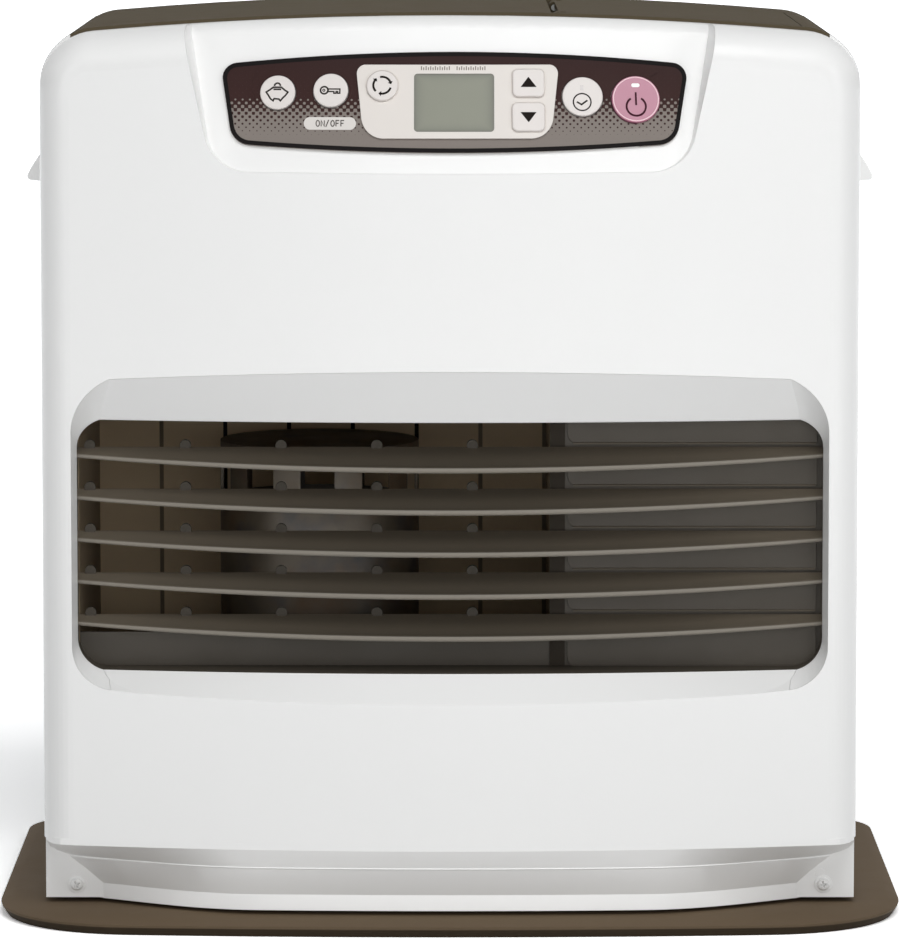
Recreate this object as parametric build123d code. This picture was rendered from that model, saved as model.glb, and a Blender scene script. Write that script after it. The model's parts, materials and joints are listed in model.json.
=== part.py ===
from build123d import *
from math import asin, cos, radians, sin, sqrt, tan
import os

# A portable paraffin fan heater that stands on its own drip tray.
# Millimetres. X to the right, Y to the rear, Z up, origin under the middle of the tray.

os.makedirs("parts", exist_ok=True)

# Overall sizes
tray_width = 420.0
tray_depth = 300.0
overall_height = 420.0
body_width = 375.0
body_rear = 116.0

# Materials' thicknesses
moulding = 2.2
cover_wall = 2.6
sheet = 1.0
gap = 0.4
seam = 0.5
running = 0.05

# Drip tray
tray_floor = 2.0
tray_rim_height = 7.5
tray_flare = 8.0
tray_wall = 2.4
tray_front_sag = 4.0
tray_front_corner = 46.0
tray_rear_corner = 26.0

# Front panel
face_front = -140.0
face_bow = 20.0
face_edge_radius = 18.0
shoulder_radius = 27.0
top_arch_radius = 1900.0
face_drop = 1.5
panel_side_rear = -70.0
panel_top_rear = -100.0
body_bottom = 9.5
chin_top = 40.0
chin_bottom = 19.0
chin_depth = 12.0
chin_corner_top = -123.0
chin_corner_bottom = -98.0
flange_front = -97.0
flange_width = 38.0
flange_top = 46.0
shoulder_line = 385.0

# Outlet recess and opening, heights at the middle of the bowed face
hood_top = 258.5
hood_depth = 13.0
opening_top = 234.0
opening_bottom = 118.5
sill_bottom = 106.0
opening_half = 171.5
hood_arch = 5.5
hood_corner = 22.0
sill_corner = 18.0
recess_draft = 2.0
recess_proud = 12.0
grille_corner_top = 11.5
grille_corner_bottom = 14.0

# Control recess
ramp_tilt = 20.0
ramp_start = 350.0
ramp_step = 1.6
ramp_half_top = 128.0
ramp_half_bottom = 109.0
ramp_wall = 6.0
ramp_reach = 38.0
ramp_roll = 9.0
ramp_low = 347.5
ramp_corner = 20.0
insert_thickness = 1.4
plate_thickness = 1.0
button_travel = 0.8
button_rise = 1.5
button_skirt = 1.4
skirt_gap = 0.3
skirt_reach = 1.2
stem_length = 1.2
board_thickness = 1.6
board_depth = 17.0

# Louvre grille
fin_count = 5
fin_pitch = 19.4
fin_top_back = 222.0
fin_tilt = 16.0
fin_thickness = 2.2
fin_back = -101.0
fin_setback = 1.2
closed_from = 52.0
rib_width = 2.4
rib_depth = 3.0
rib_places = [-166.0, -122.0, -78.0, -34.0, 10.0, closed_from]
ring_width = 5.0
ring_back = -98.0

# Warm air duct, fan and burner
duct_left = -172.0
duct_right = 48.0
duct_bottom = 112.0
duct_top = 262.0
duct_rear = 80.0
air_x = -62.0
air_z = 187.0
fan_radius = 66.0
fan_hub_radius = 19.0
fan_depth = 17.0
fan_blades = 5
fan_clearance = 2.5
shaft_radius = 3.0
burner_y = -8.0
pot_radius = 40.0
pot_bottom = 52.0
chamber_radius = 47.0
chamber_top = 214.0
nozzle_radius = 5.0
probes = [(-12.0, 92.0), (12.0, 98.0)]

# Fuel tank
tank_x = 106.0
tank_y = -12.0
tank_width = 98.0
tank_depth = 144.0
tank_bottom = 80.0
tank_top = 378.0
tank_corner = 13.0
tank_clearance = 2.5
tank_wall = 1.2

# Lid over the tank
lid_axis_x = 50.0
lid_right = 161.0
lid_front = -92.0
lid_back = 68.0
lid_thickness = 2.6
knuckle_radius = 2.8
knuckle_length = 14.0
hinge_pin_radius = 1.5
ear_length = 6.0
opening_ledge = 4.0
hinge_ledge = 7.0
hinge_room = 0.9
collar_margin = 7.0
collar_bottom = 402.0
cover_overhang = 3.0
cover_edge_radius = 5.0

# Fixed tank and combustion blower
sump_bottom = body_bottom + 1.7
sump_top = 50.0
pump_x = 38.0
pump_y = -40.0
blower_x = -146.0
blower_y = burner_y
blower_z = 62.0
blower_radius = 34.0
blower_width = 30.0
blower_spout = 35.0
wheel_radius = 25.0

# Rear guard and filter
guard_half_x = 92.0
guard_half_z = 80.0
guard_depth = 20.0
guard_wall = 2.0
filter_thickness = 4.0
rear_slot_pitch = 8.0

# Grips
grip_half = 44.0
grip_top = 352.0
grip_tip = 338.6
grip_bottom = 330.0
grip_reach = 12.3
pocket_bottom = 318.0
pocket_depth = 16.0
pocket_wall = 1.6

half_body = body_width / 2
body_top = overall_height - face_drop
bow_radius = (half_body ** 2 + face_bow ** 2) / (2 * face_bow)
bow_centre = face_front + bow_radius
CENTRED_LOW = (Align.CENTER, Align.CENTER, Align.MIN)
CENTRED_HIGH = (Align.CENTER, Align.CENTER, Align.MAX)


def save(name, *solids):
    """Write one sub-part, made of one or more separate solids."""
    pieces = []
    for item in solids:
        pieces.extend(item.solids())
    shape = pieces[0] if len(pieces) == 1 else Compound(children=pieces)
    shape.label = name
    export_step(shape, "parts/" + name + ".step")


def block(x, y, z):
    """A box between two corners, each range given as a (low, high) pair."""
    sizes = [high - low for low, high in (x, y, z)]
    middle = [(low + high) / 2 for low, high in (x, y, z)]
    return Pos(*middle) * Box(*sizes)


def rod(start, end, radius):
    """A round bar from one point to another."""
    run = Vector(*end) - Vector(*start)
    return Plane(origin=start, z_dir=run) * Cylinder(radius, run.length, align=CENTRED_LOW)


def tube(start, end, outer, inner):
    """A round tube from one point to another."""
    return rod(start, end, outer) - rod(start, end, inner)


def bow_y(x, shift=0.0):
    """Depth of the bowed face at x, or of a face that is shift further back."""
    return bow_centre - sqrt((bow_radius - shift) ** 2 - x ** 2)


def arch_z(x, top):
    """Height at x of an arched top whose highest point is top."""
    return top - top_arch_radius + sqrt(top_arch_radius ** 2 - x ** 2)


def turned(points, half_angle=14.0):
    """A profile of (y, z) points turned about the upright axis of the bowed face."""
    profile = make_face(Plane.YZ * Polyline(*points, close=True))
    axis = Axis((0, bow_centre, 0), (0, 0, 1))
    swept = revolve(profile, axis, 2 * half_angle)
    return swept.rotate(axis, -half_angle)


def front_outline(points):
    """A closed outline of (x, z) points on the front plane."""
    return make_face(Plane.XZ * Polyline(*points, close=True))


def from_front(outline, front, back):
    """A front outline pushed through from the depth front to the depth back."""
    return Pos(0, back, 0) * extrude(outline, back - front, dir=(0, -1, 0))


def rounded_front(x, z, radii):
    """A front outline between corners, rounded by (top, bottom) radii."""
    middle_x = (x[0] + x[1]) / 2
    middle_z = (z[0] + z[1]) / 2
    outline = Plane.XZ * Pos(middle_x, middle_z) * Rectangle(x[1] - x[0], z[1] - z[0])
    corners = outline.vertices().sort_by(Axis.Z)
    outline = fillet(corners[2:], radii[0])
    low = outline.vertices().sort_by(Axis.Z)[:2]
    return fillet(low, radii[1])


# Outer form of the heater's body

def elevation(inset, low, top):
    """Front outline of the body with its arched top and sharp shoulders."""
    half = half_body - inset
    edge = arch_z(half, top - inset)
    walls = Plane.XZ * Polyline((-half, edge), (-half, low), (half, low), (half, edge))
    roof = Plane.XZ * ThreePointArc((half, edge), (0, top - inset), (-half, edge))
    return make_face(Wire(walls.edges() + roof.edges()))


def body_block(inset, low, front, back, top):
    """The body's rounded-shoulder prism between two depths."""
    prism = from_front(elevation(inset, low, top), front, back)
    shoulders = prism.edges().filter_by(Axis.Y).group_by(Axis.Z)[-1]
    return fillet(shoulders, shoulder_radius - inset)


def panel_block(inset, low):
    """The front panel's outer form, or its inner form at an inset."""
    prism = body_block(inset, low, face_front - 30, panel_side_rear, body_top)
    front_trim = face_front - 40
    radius = bow_radius - inset
    keep = Pos(0, bow_centre, low - 1) * Cylinder(radius, overall_height, align=CENTRED_LOW)
    bowed = prism & keep
    face_edges = []
    for edge in bowed.edges():
        middle = edge.position_at(0.5)
        if middle.Y > bow_y(half_body) + 1 or middle.Y < front_trim:
            continue
        if abs(middle.Z - low) < 0.01:
            continue
        face_edges.append(edge)
    return fillet(face_edges, face_edge_radius - inset)


def chin_outline(level, inset, front, side_rear, corner_y):
    """Plan of the panel at one level of its undercut chin."""
    half = half_body - inset
    reach = half_body * 0.67
    radius = bow_centre - front - inset
    shoulder_y = bow_centre - sqrt(radius ** 2 - reach ** 2)
    left = Line((-half, panel_side_rear), (-half, side_rear))
    left_corner = ThreePointArc((-half, side_rear), (-half_body * 0.84 + inset * 0.7, corner_y + inset * 0.7),
                                (-reach, shoulder_y))
    face = ThreePointArc((-reach, shoulder_y), (0, front + inset), (reach, shoulder_y))
    right_corner = mirror(left_corner, Plane.YZ)
    right = mirror(left, Plane.YZ)
    back = Line((-half, panel_side_rear), (half, panel_side_rear))
    return Pos(0, 0, level) * make_face([left, left_corner, face, right_corner, right, back])


def chin_block(inset):
    """The undercut under the panel's face, down to the bottom strip."""
    strip_front = face_front + chin_depth
    top = chin_outline(chin_top, inset, face_front, bow_y(half_body) + face_edge_radius * 0.7, chin_corner_top)
    bottom = chin_outline(chin_bottom, inset, strip_front, panel_side_rear - 2, chin_corner_bottom)
    strip = chin_outline(body_bottom - inset, inset, strip_front, panel_side_rear - 2, chin_corner_bottom)
    return loft([bottom, top]) + extrude(strip, chin_bottom - body_bottom + inset)


# Outlet recess, turned about the bow's axis

def recess_section(x, grow, back):
    """Upright section of the recess at x, from in front of the face to back behind it."""
    face = bow_y(x)
    share = (x / opening_half) ** 2
    hood = hood_top - hood_arch * share
    sill = sill_bottom + hood_arch * share
    rise = (hood - opening_top) / hood_depth
    fall = (opening_bottom - sill) / hood_depth
    past = back - hood_depth
    points = [
        (x, face - recess_proud, hood + rise * recess_proud + grow),
        (x, face + back, opening_top - rise * past + grow),
        (x, face + back, opening_bottom + fall * past - grow),
        (x, face - recess_proud, sill - fall * recess_proud - grow),
    ]
    return make_face(Polyline(*points, close=True))


def corner_outline(share, grow):
    """Front outline that rounds the recess; share runs from 0 at the face to 1 at the opening."""
    def between(outer, inner):
        return outer + (inner - outer) * share
    half = between(opening_half + recess_draft, opening_half) + grow
    high = between(hood_top - hood_arch, opening_top) + grow
    low = between(sill_bottom + hood_arch, opening_bottom) - grow
    radii = (between(hood_corner, grille_corner_top) + grow, between(sill_corner, grille_corner_bottom) + grow)
    depth = bow_y(opening_half - hood_corner / 2) + share * hood_depth
    return Pos(0, depth, 0) * rounded_front((-half, half), (low, high), radii)


def outlet_recess(grow, back):
    """The flared recess round the outlet, to back behind the face; grow adds the wall that lines it."""
    step = (opening_half + 8) / 4
    sections = [recess_section(step * index, grow, back) for index in range(-4, 5)]
    past = (back + 3) / hood_depth
    return loft(sections) & loft([corner_outline(-2.4, grow), corner_outline(past, grow)])


# Control recess, a cone about the bow's axis that leans back

def ramp_y(z, below=0.0):
    """Depth of the leaning floor at the middle, or of a surface below it."""
    return face_front + ramp_step + (z - ramp_start) * tan(radians(ramp_tilt)) + below / cos(radians(ramp_tilt))


def ramp_slab(above, below, low=ramp_low - 12, high=overall_height + 12):
    """The solid between two surfaces parallel to the leaning floor."""
    return turned([(ramp_y(low, -above), low), (ramp_y(high, -above), high),
                   (ramp_y(high, below), high), (ramp_y(low, below), low)])


def ramp_outline(inset):
    """Front outline of the control recess."""
    top = overall_height + 14
    slope = (ramp_half_top - ramp_half_bottom) / (top - ramp_low)
    low = ramp_low + inset
    half_low = ramp_half_bottom + slope * inset - inset
    half_top = ramp_half_top - inset
    outline = front_outline([(-half_top, top), (-half_low, low), (half_low, low), (half_top, top)])
    return fillet(outline.vertices().sort_by(Axis.Z)[:2], ramp_corner)


def ramp_recess(grow, below):
    """Space in front of the leaning floor, with drafted side walls."""
    outer = Pos(0, face_front - 6, 0) * ramp_outline(-grow)
    inner = Pos(0, face_front + ramp_reach, 0) * ramp_outline(ramp_wall - grow)
    return loft([outer, inner]) & ramp_slab(60, below)


def ramp_plane(x, z):
    """A plane on the leaning floor at x and z, facing out, with its x axis to the right."""
    depth = bow_centre - ramp_y(z)
    turn = asin(x / depth)
    out = Vector(cos(radians(ramp_tilt)) * sin(turn), -cos(radians(ramp_tilt)) * cos(turn), sin(radians(ramp_tilt)))
    place = Vector(x, bow_centre - depth * cos(turn), z)
    return Plane(origin=place, x_dir=(cos(turn), sin(turn), 0), z_dir=out)


# Push buttons: name, x, z, width, height, corner radius of the cap, and what it stands on
buttons = [
    ("save_button", -77.9, 383.7, 16.0, 16.0, 0, 0),
    ("lock_button", -53.9, 384.7, 15.8, 15.8, 0, 0),
    ("recirculate_button", -30.6, 386.6, 14.2, 14.2, 0, 1),
    ("up_button", 35.4, 387.8, 14.4, 13.0, 2.6, 1),
    ("down_button", 35.4, 372.7, 14.8, 13.4, 2.6, 1),
    ("timer_button", 59.9, 381.9, 18.4, 18.4, 0, 0),
    ("power_button", 84.0, 380.6, 22.0, 22.0, 0, 0),
]


def button_prism(button, grow, low, high):
    """The button's outline, grown, from low to high along its own axis."""
    name, x, z, width, height, corner, on_plate = button
    plane = ramp_plane(x, z)
    if corner:
        outline = RectangleRounded(width + 2 * grow, height + 2 * grow, corner + grow)
    else:
        outline = Circle(width / 2 + grow)
    return plane * Pos(0, 0, low) * extrude(outline, high - low)


# Drip tray

def tray_outline(inset):
    """Plan of the tray, pulled in evenly."""
    half = tray_width / 2 - inset
    front = -tray_depth / 2 + inset
    rear = tray_depth / 2 - inset
    front_corner_y = front + tray_front_sag
    sides = Polyline((-half, front_corner_y), (-half, rear), (half, rear), (half, front_corner_y))
    bow = ThreePointArc((half, front_corner_y), (0, front), (-half, front_corner_y))
    outline = make_face(Wire(sides.edges() + bow.edges()))
    corners = outline.vertices().sort_by(Axis.Y)
    outline = fillet(corners[:2], tray_front_corner - inset)
    rear_corners = outline.vertices().sort_by(Axis.Y)[-2:]
    return fillet(rear_corners, tray_rear_corner - inset)


def base_tray():
    lip = 2.5
    under = loft([tray_outline(tray_flare), Pos(0, 0, tray_rim_height - lip) * tray_outline(0)])
    rim = Pos(0, 0, tray_rim_height - lip) * extrude(tray_outline(0), lip)
    rim = fillet(rim.edges().group_by(Axis.Z)[-1], 1.2)
    hollow = loft([Pos(0, 0, tray_floor) * tray_outline(tray_flare + tray_wall),
                   Pos(0, 0, tray_rim_height + 0.1) * tray_outline(tray_wall + 1.6)])
    return under + rim - hollow


# Panels and covers

def panel_form(inset):
    """The front panel as a full solid, at an inset from its outside."""
    form = panel_block(inset, chin_top) + chin_block(inset)
    form -= outlet_recess(inset, hood_depth)
    form -= ramp_recess(inset, inset)
    rolls = []
    for edge in form.edges():
        middle = edge.position_at(0.5)
        if abs(middle.X) < 5 and middle.Z > body_top - inset - 6 and face_front + 15 < middle.Y < panel_side_rear - 1:
            rolls.append(edge)
    return fillet(rolls, ramp_roll - inset)


def front_panel():
    shell = panel_form(0) - panel_form(moulding)
    shell -= block((-half_body, half_body), (panel_top_rear, 0), (shoulder_line, overall_height + 5))
    for side in (-1, 1):
        reach = sorted((side * (half_body + 1), side * (half_body - flange_width - 20)))
        shell -= block(reach, (flange_front, 0), (0, flange_top))
    for button in buttons:
        shell -= button_prism(button, gap, -moulding - 2, 2)
    return shell


def side_panel(side):
    """A steel side with its small front flange; side is -1 on the left."""
    outer = side * half_body
    inner = side * (half_body - sheet)
    wall = block(sorted((outer, inner)), (panel_side_rear, body_rear), (body_bottom, shoulder_line))
    wall += block(sorted((outer, inner)), (flange_front, panel_side_rear), (body_bottom, flange_top))
    flange_end = side * (half_body - flange_width)
    wall += block(sorted((outer, flange_end)), (flange_front, flange_front + sheet), (body_bottom, flange_top))
    wall -= block(sorted((outer + side, inner - side)), (-grip_half + 4, grip_half - 4),
                  (pocket_bottom, grip_top - 8))
    hole = Vector(side * screw_x, flange_front - 1, screw_z)
    wall -= rod(hole, hole + Vector(0, 4, 0), 2.1)
    return wall


screw_x = half_body - 15.8
screw_z = 21.0
panel_screw_spots = [(-170, 200), (170, 200), (-170, 30), (170, 30), (-60, 380), (60, 380)]


def back_panel():
    plate = block((-half_body + sheet, half_body - sheet), (body_rear - sheet, body_rear),
                  (body_bottom + 1, shoulder_line))
    plate -= rod((air_x, body_rear - 5, air_z), (air_x, body_rear + 5, air_z), fan_radius + 4)
    plate -= rod((grommet_x, body_rear - 5, grommet_z), (grommet_x, body_rear + 5, grommet_z), 7)
    plate -= rod((sensor_x, body_rear - 5, sensor_z), (sensor_x, body_rear + 5, sensor_z), 3)
    for row in range(6):
        z = 300 + 8 * row
        slot = Plane.XZ * Pos(70, z) * SlotOverall(80, 3)
        plate -= Pos(0, body_rear + 2, 0) * extrude(slot, 6)
    for x, z in panel_screw_spots:
        plate -= rod((x, body_rear - 5, z), (x, body_rear + 5, z), 1.7)
    return plate


grommet_x = 150.0
grommet_z = 60.0
sensor_x = 140.0
sensor_z = 250.0


def base_pan():
    half = half_body - sheet
    floor = body_bottom + 0.5
    front = flange_front + sheet
    plate = block((-half, half), (front, body_rear - sheet), (floor, floor + 1.2))
    for side in (-1, 1):
        plate += block(sorted((side * half, side * (half - 1.2))), (front, body_rear - sheet), (floor, floor + 24))
    plate += block((-half, half), (body_rear - sheet - 1.2, body_rear - sheet), (floor, floor + 24))
    for x, z in panel_screw_spots:
        plate -= rod((x, body_rear - 10, z), (x, body_rear, z), 1.7)
    return plate


def lid_top(z_drop=0.0, grow=0.0, low=300.0):
    """Prism under the arched cover surface, over the lid's plan."""
    outline = elevation(0, low, overall_height - z_drop)
    slab = from_front(outline, lid_front - grow, lid_back + grow)
    return slab & block((lid_axis_x - grow, lid_right + grow), (-200, 200), (low, overall_height + 5))


hinge_z = arch_z(lid_axis_x, overall_height) - knuckle_radius
knuckle_starts = [lid_front + 12.0, lid_back - 12.0 - knuckle_length]


def tank_lid():
    skin = lid_top() - lid_top(lid_thickness, 5)
    skin = skin + lid_skirt()
    for start in knuckle_starts:
        low, high = ear_span(start)
        notch = knuckle_radius + seam
        skin -= block((lid_axis_x - 5, lid_axis_x + notch), (low - seam, high + seam), (hinge_z - 6, overall_height))
        knuckle = rod((lid_axis_x, start, hinge_z), (lid_axis_x, start + knuckle_length, hinge_z), knuckle_radius)
        web = block((lid_axis_x, lid_axis_x + 6), (start, start + knuckle_length),
                    (hinge_z, hinge_z + knuckle_radius - 0.4))
        skin += knuckle + web
        skin -= rod((lid_axis_x, start - 1, hinge_z), (lid_axis_x, start + knuckle_length + 1, hinge_z),
                    hinge_pin_radius + running)
    return skin


def lid_skirt():
    """A shallow stiffening rim under the lid."""
    inset = opening_ledge + 1.5
    depth = 5.0
    left = lid_axis_x + hinge_ledge + 1.5
    outer = block((left, lid_right - inset), (lid_front + inset, lid_back - inset), (390, 430))
    inner = block((left + 2, lid_right - inset - 2), (lid_front + inset + 2, lid_back - inset - 2), (380, 440))
    band = lid_top(1.0) - lid_top(lid_thickness + depth, 5)
    return (outer - inner) & band


def top_cover():
    """The rounded cover, with a sunk collar that the lid lies in."""
    rear = body_rear + cover_overhang
    outer = body_block(0, shoulder_line, panel_top_rear, rear, overall_height)
    inner = body_block(cover_wall, shoulder_line - 1, panel_top_rear - 1, rear - cover_wall, overall_height)
    rear_edges = []
    for edge in outer.edges():
        middle = edge.position_at(0.5)
        if middle.Y > rear - 0.1 and middle.Z > shoulder_line + 1:
            rear_edges.append(edge)
    outer = fillet(rear_edges, cover_edge_radius)
    collar = block((lid_axis_x - collar_margin, lid_right + opening_ledge),
                   (lid_front - opening_ledge, lid_back + opening_ledge), (collar_bottom, overall_height + 5))
    shell = outer - inner + (collar & outer)
    shell -= lid_pocket()
    shell -= block((lid_axis_x + hinge_ledge, lid_right - opening_ledge),
                   (lid_front + opening_ledge, lid_back - opening_ledge), (shoulder_line, overall_height + 5))
    for start in knuckle_starts:
        shell += hinge_ear(start)
    return shell


def lid_pocket():
    """The space that the lid and its knuckles fill in the cover."""
    high = overall_height + 20
    y = (lid_front - seam, lid_back + seam)
    above = from_front(elevation(0, shoulder_line, overall_height + 15), *y)
    above -= from_front(elevation(-5, shoulder_line - 1, overall_height - lid_thickness - gap - 5), *y)
    above &= block((lid_axis_x, lid_right + seam), y, (shoulder_line, high))
    trough = block((lid_axis_x - knuckle_radius - hinge_room, lid_axis_x + hinge_ledge), y,
                   (hinge_z - knuckle_radius - hinge_room, high))
    return above + trough


def ear_span(start):
    """Where the ear beside a knuckle begins and ends, on the side of the lid's nearer end."""
    if start < tank_y:
        return (start - seam - ear_length, start - seam)
    return (start + knuckle_length + seam, start + knuckle_length + seam + ear_length)


def hinge_ear(start):
    """An ear beside a knuckle, towards the lid's nearer end, that holds a pin."""
    span = ear_span(start)
    ear = rod((lid_axis_x, span[0], hinge_z), (lid_axis_x, span[1], hinge_z), knuckle_radius)
    ear += block((lid_axis_x - knuckle_radius - hinge_room - 1, lid_axis_x), span, (hinge_z - 2.5, hinge_z + 1.5))
    return ear - rod((lid_axis_x, span[0] - 1, hinge_z), (lid_axis_x, span[1] + 1, hinge_z), hinge_pin_radius)


def lid_pins():
    pins = []
    for start in knuckle_starts:
        low = min(start, ear_span(start)[0])
        high = max(start + knuckle_length, ear_span(start)[1])
        pins.append(rod((lid_axis_x, low, hinge_z), (lid_axis_x, high, hinge_z), hinge_pin_radius))
    return pins


def grip(side):
    """A hooded lip outside, with a finger pocket under and behind it."""
    outer = side * half_body
    tip = outer + side * grip_reach
    hood = from_front(front_outline([
        (outer, grip_top), (outer + side * 5.0, grip_top - 2.0), (tip, grip_tip), (tip, grip_tip - 2.4),
        (tip - side * 1.6, grip_tip - 3.4), (outer, grip_bottom + 4)]), -grip_half, grip_half)
    hood -= from_front(front_outline([
        (outer - side, grip_bottom), (tip - side * 2.6, grip_bottom), (tip - side * 2.6, grip_tip - 3.0),
        (outer + side * 3.5, grip_top - 5.0), (outer - side, grip_top - 5.0)]), -grip_half + 3, grip_half - 3)
    span = (-grip_half + 4, grip_half - 4)
    mouth_top = grip_top - 8
    rim = block(sorted((outer, outer + side * 1.2)), (-grip_half, grip_half), (pocket_bottom - 4, grip_top - 2))
    pocket = block(sorted((outer, outer - side * pocket_depth)), span, (pocket_bottom, mouth_top))
    hollow = block(sorted((outer + side * 2, outer - side * (pocket_depth - pocket_wall))),
                   (span[0] + pocket_wall, span[1] - pocket_wall),
                   (pocket_bottom + pocket_wall, mouth_top - pocket_wall))
    return hood + rim + pocket - hollow


# Controls

def decor_outline():
    """Barrel outline of the dark insert."""
    top = Plane.XZ * ThreePointArc((-104.5, 396.4), (0, 402.2), (104.5, 396.4))
    low = Plane.XZ * ThreePointArc((97.0, 361.4), (0, 357.6), (-97.0, 361.4))
    right = Plane.XZ * Line((104.5, 396.4), (97.0, 361.4))
    left = Plane.XZ * Line((-97.0, 361.4), (-104.5, 396.4))
    outline = make_face([top.edge(), right.edge(), low.edge(), left.edge()])
    corners = outline.vertices().sort_by(Axis.Z)
    outline = fillet(corners[2:], 6)
    return fillet(outline.vertices().sort_by(Axis.Z)[:2], 11)


def centre_outline():
    """Outline of the pale centre plate."""
    outline = front_outline([(-42.7, 397.0), (-39.2, 364.2), (45.8, 364.2), (49.4, 397.0)])
    corners = outline.vertices().sort_by(Axis.Z)
    outline = fillet(corners[2:], 4)
    return fillet(outline.vertices().sort_by(Axis.Z)[:2], 10)


display_x = (-16.3, 20.0)
display_z = (367.2, 393.0)


def display_outline(grow):
    return rounded_front((display_x[0] - grow, display_x[1] + grow), (display_z[0] - grow, display_z[1] + grow),
                         (1.6 + grow, 1.6 + grow))


def decor_insert():
    plate = ramp_slab(insert_thickness, 0) & from_front(decor_outline(), -200, 0)
    for button in buttons:
        plate -= button_prism(button, gap, -2, 4)
    return plate - from_front(display_outline(0), -200, 0)


def button_plate():
    plate = ramp_slab(insert_thickness + plate_thickness, -insert_thickness) & from_front(centre_outline(), -200, 0)
    for button in buttons:
        if button[6]:
            plate -= button_prism(button, gap, -2, 5)
    return plate - from_front(display_outline(0), -200, 0)


def display_window():
    return ramp_slab(insert_thickness + plate_thickness - 0.3, 0) & from_front(display_outline(0), -200, 0)


def push_button(button):
    """A cap that stands out of the plate, with a skirt that stops it behind the panel."""
    base = insert_thickness + (plate_thickness if button[6] else 0)
    skirt_top = -moulding - skirt_gap
    low = skirt_top - button_skirt
    cap = button_prism(button, 0, low, base + button_rise)
    cap = fillet(top_edges(cap, button), 0.6)
    skirt = button_prism(button, skirt_reach, low, skirt_top)
    stem = ramp_plane(button[1], button[2]) * Pos(0, 0, low) * Cylinder(2.5, stem_length, align=CENTRED_HIGH)
    return cap + skirt + stem


def top_edges(cap, button):
    """The edges round the outer end of a button."""
    plane = ramp_plane(button[1], button[2])
    base = insert_thickness + (plate_thickness if button[6] else 0) + button_rise
    picked = []
    for edge in cap.edges():
        height = (edge.position_at(0.5) - plane.origin).dot(plane.z_dir)
        if abs(height - base) < 0.05:
            picked.append(edge)
    return picked


board_plane = ramp_plane(0, 381.0).offset(-board_depth)
board_posts = [(-92.0, 370.0), (-92.0, 391.0), (98.0, 370.0), (98.0, 391.0), (-42.0, 372.0), (48.5, 372.0)]


def control_board():
    board = board_plane * Pos(3, 0, 0) * Box(205, 34, board_thickness)
    above = board_plane * Pos(3, 0, 0) * Box(205, 34, 60, align=CENTRED_LOW)
    for button in buttons:
        plane = ramp_plane(button[1], button[2])
        reach = moulding + skirt_gap + button_skirt + stem_length + button_travel + gap
        post = plane * Pos(0, 0, -reach) * Cylinder(3.2, 40, align=CENTRED_HIGH)
        board += post & above
    for x, z in board_posts:
        post = ramp_plane(x, z) * Pos(0, 0, -40) * Cylinder(2.6, 40, align=CENTRED_LOW)
        board += post & above & ramp_slab(-moulding, 60)
    return board


# Grille

def grille_fins():
    fins = []
    for index in range(fin_count):
        z = fin_top_back - index * fin_pitch
        radius = bow_radius - hood_depth - fin_setback
        half = opening_half + 1
        edge_y = bow_centre - sqrt(radius ** 2 - half ** 2)
        nose = ThreePointArc((-half, edge_y), (0, bow_centre - radius), (half, edge_y))
        back = Polyline((half, edge_y), (half, fin_back), (-half, fin_back), (-half, edge_y))
        outline = make_face(Wire(nose.edges() + back.edges()))
        fin = extrude(outline, -fin_thickness)
        front_edges = [e for e in fin.edges() if e.length > 100 and e.position_at(0.5).Y < fin_back - 20]
        fin = fillet(front_edges, fin_thickness * 0.42)
        fin = fin.rotate(Axis((0, fin_back, 0), (1, 0, 0)), fin_tilt)
        fins.append(Pos(0, 0, z) * fin)
    return fins


def louvre_grille():
    half = opening_half + ring_width
    outer = rounded_front((-half, half), (opening_bottom - ring_width, opening_top + ring_width), (14, 14))
    inner = rounded_front((-opening_half, opening_half), (opening_bottom, opening_top),
                          (grille_corner_top, grille_corner_bottom))
    room = from_front(outer, face_front + hood_depth - 1, ring_back)
    shape = room - outlet_recess(ring_width + 2, hood_depth)
    shape -= from_front(inner, face_front - 10, 0)
    for fin in grille_fins():
        shape += fin & room
    for x in rib_places:
        shape += block((x - rib_width / 2, x + rib_width / 2), (fin_back - rib_depth, ring_back),
                       (opening_bottom - 1, opening_top + 1))
    return shape


def grille_backplate():
    low = opening_bottom - 3
    high = opening_top + 3
    right = opening_half + 3
    plate = block((closed_from, right), (ring_back, ring_back + 1.2), (low, high))
    for index in range(fin_count):
        z = fin_top_back - index * fin_pitch
        plate += block((closed_from + 3, right - 6), (ring_back + 1.2, ring_back + 5), (z - 12, z - 6))
    return plate


# Warm air side

def warm_air_duct():
    outer = block((duct_left, duct_right), (ring_back, duct_rear), (duct_bottom, duct_top))
    inner = block((duct_left + sheet, duct_right - sheet), (-200, 200), (duct_bottom + sheet, duct_top - sheet))
    duct = outer - inner
    duct -= rod((air_x, burner_y, duct_bottom - 5), (air_x, burner_y, duct_bottom + 5), pot_radius + 4)
    return duct


def heat_shield():
    return block((closed_from, closed_from + sheet), (ring_back + 1.2, duct_rear), (duct_bottom - 4, duct_top))


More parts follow.
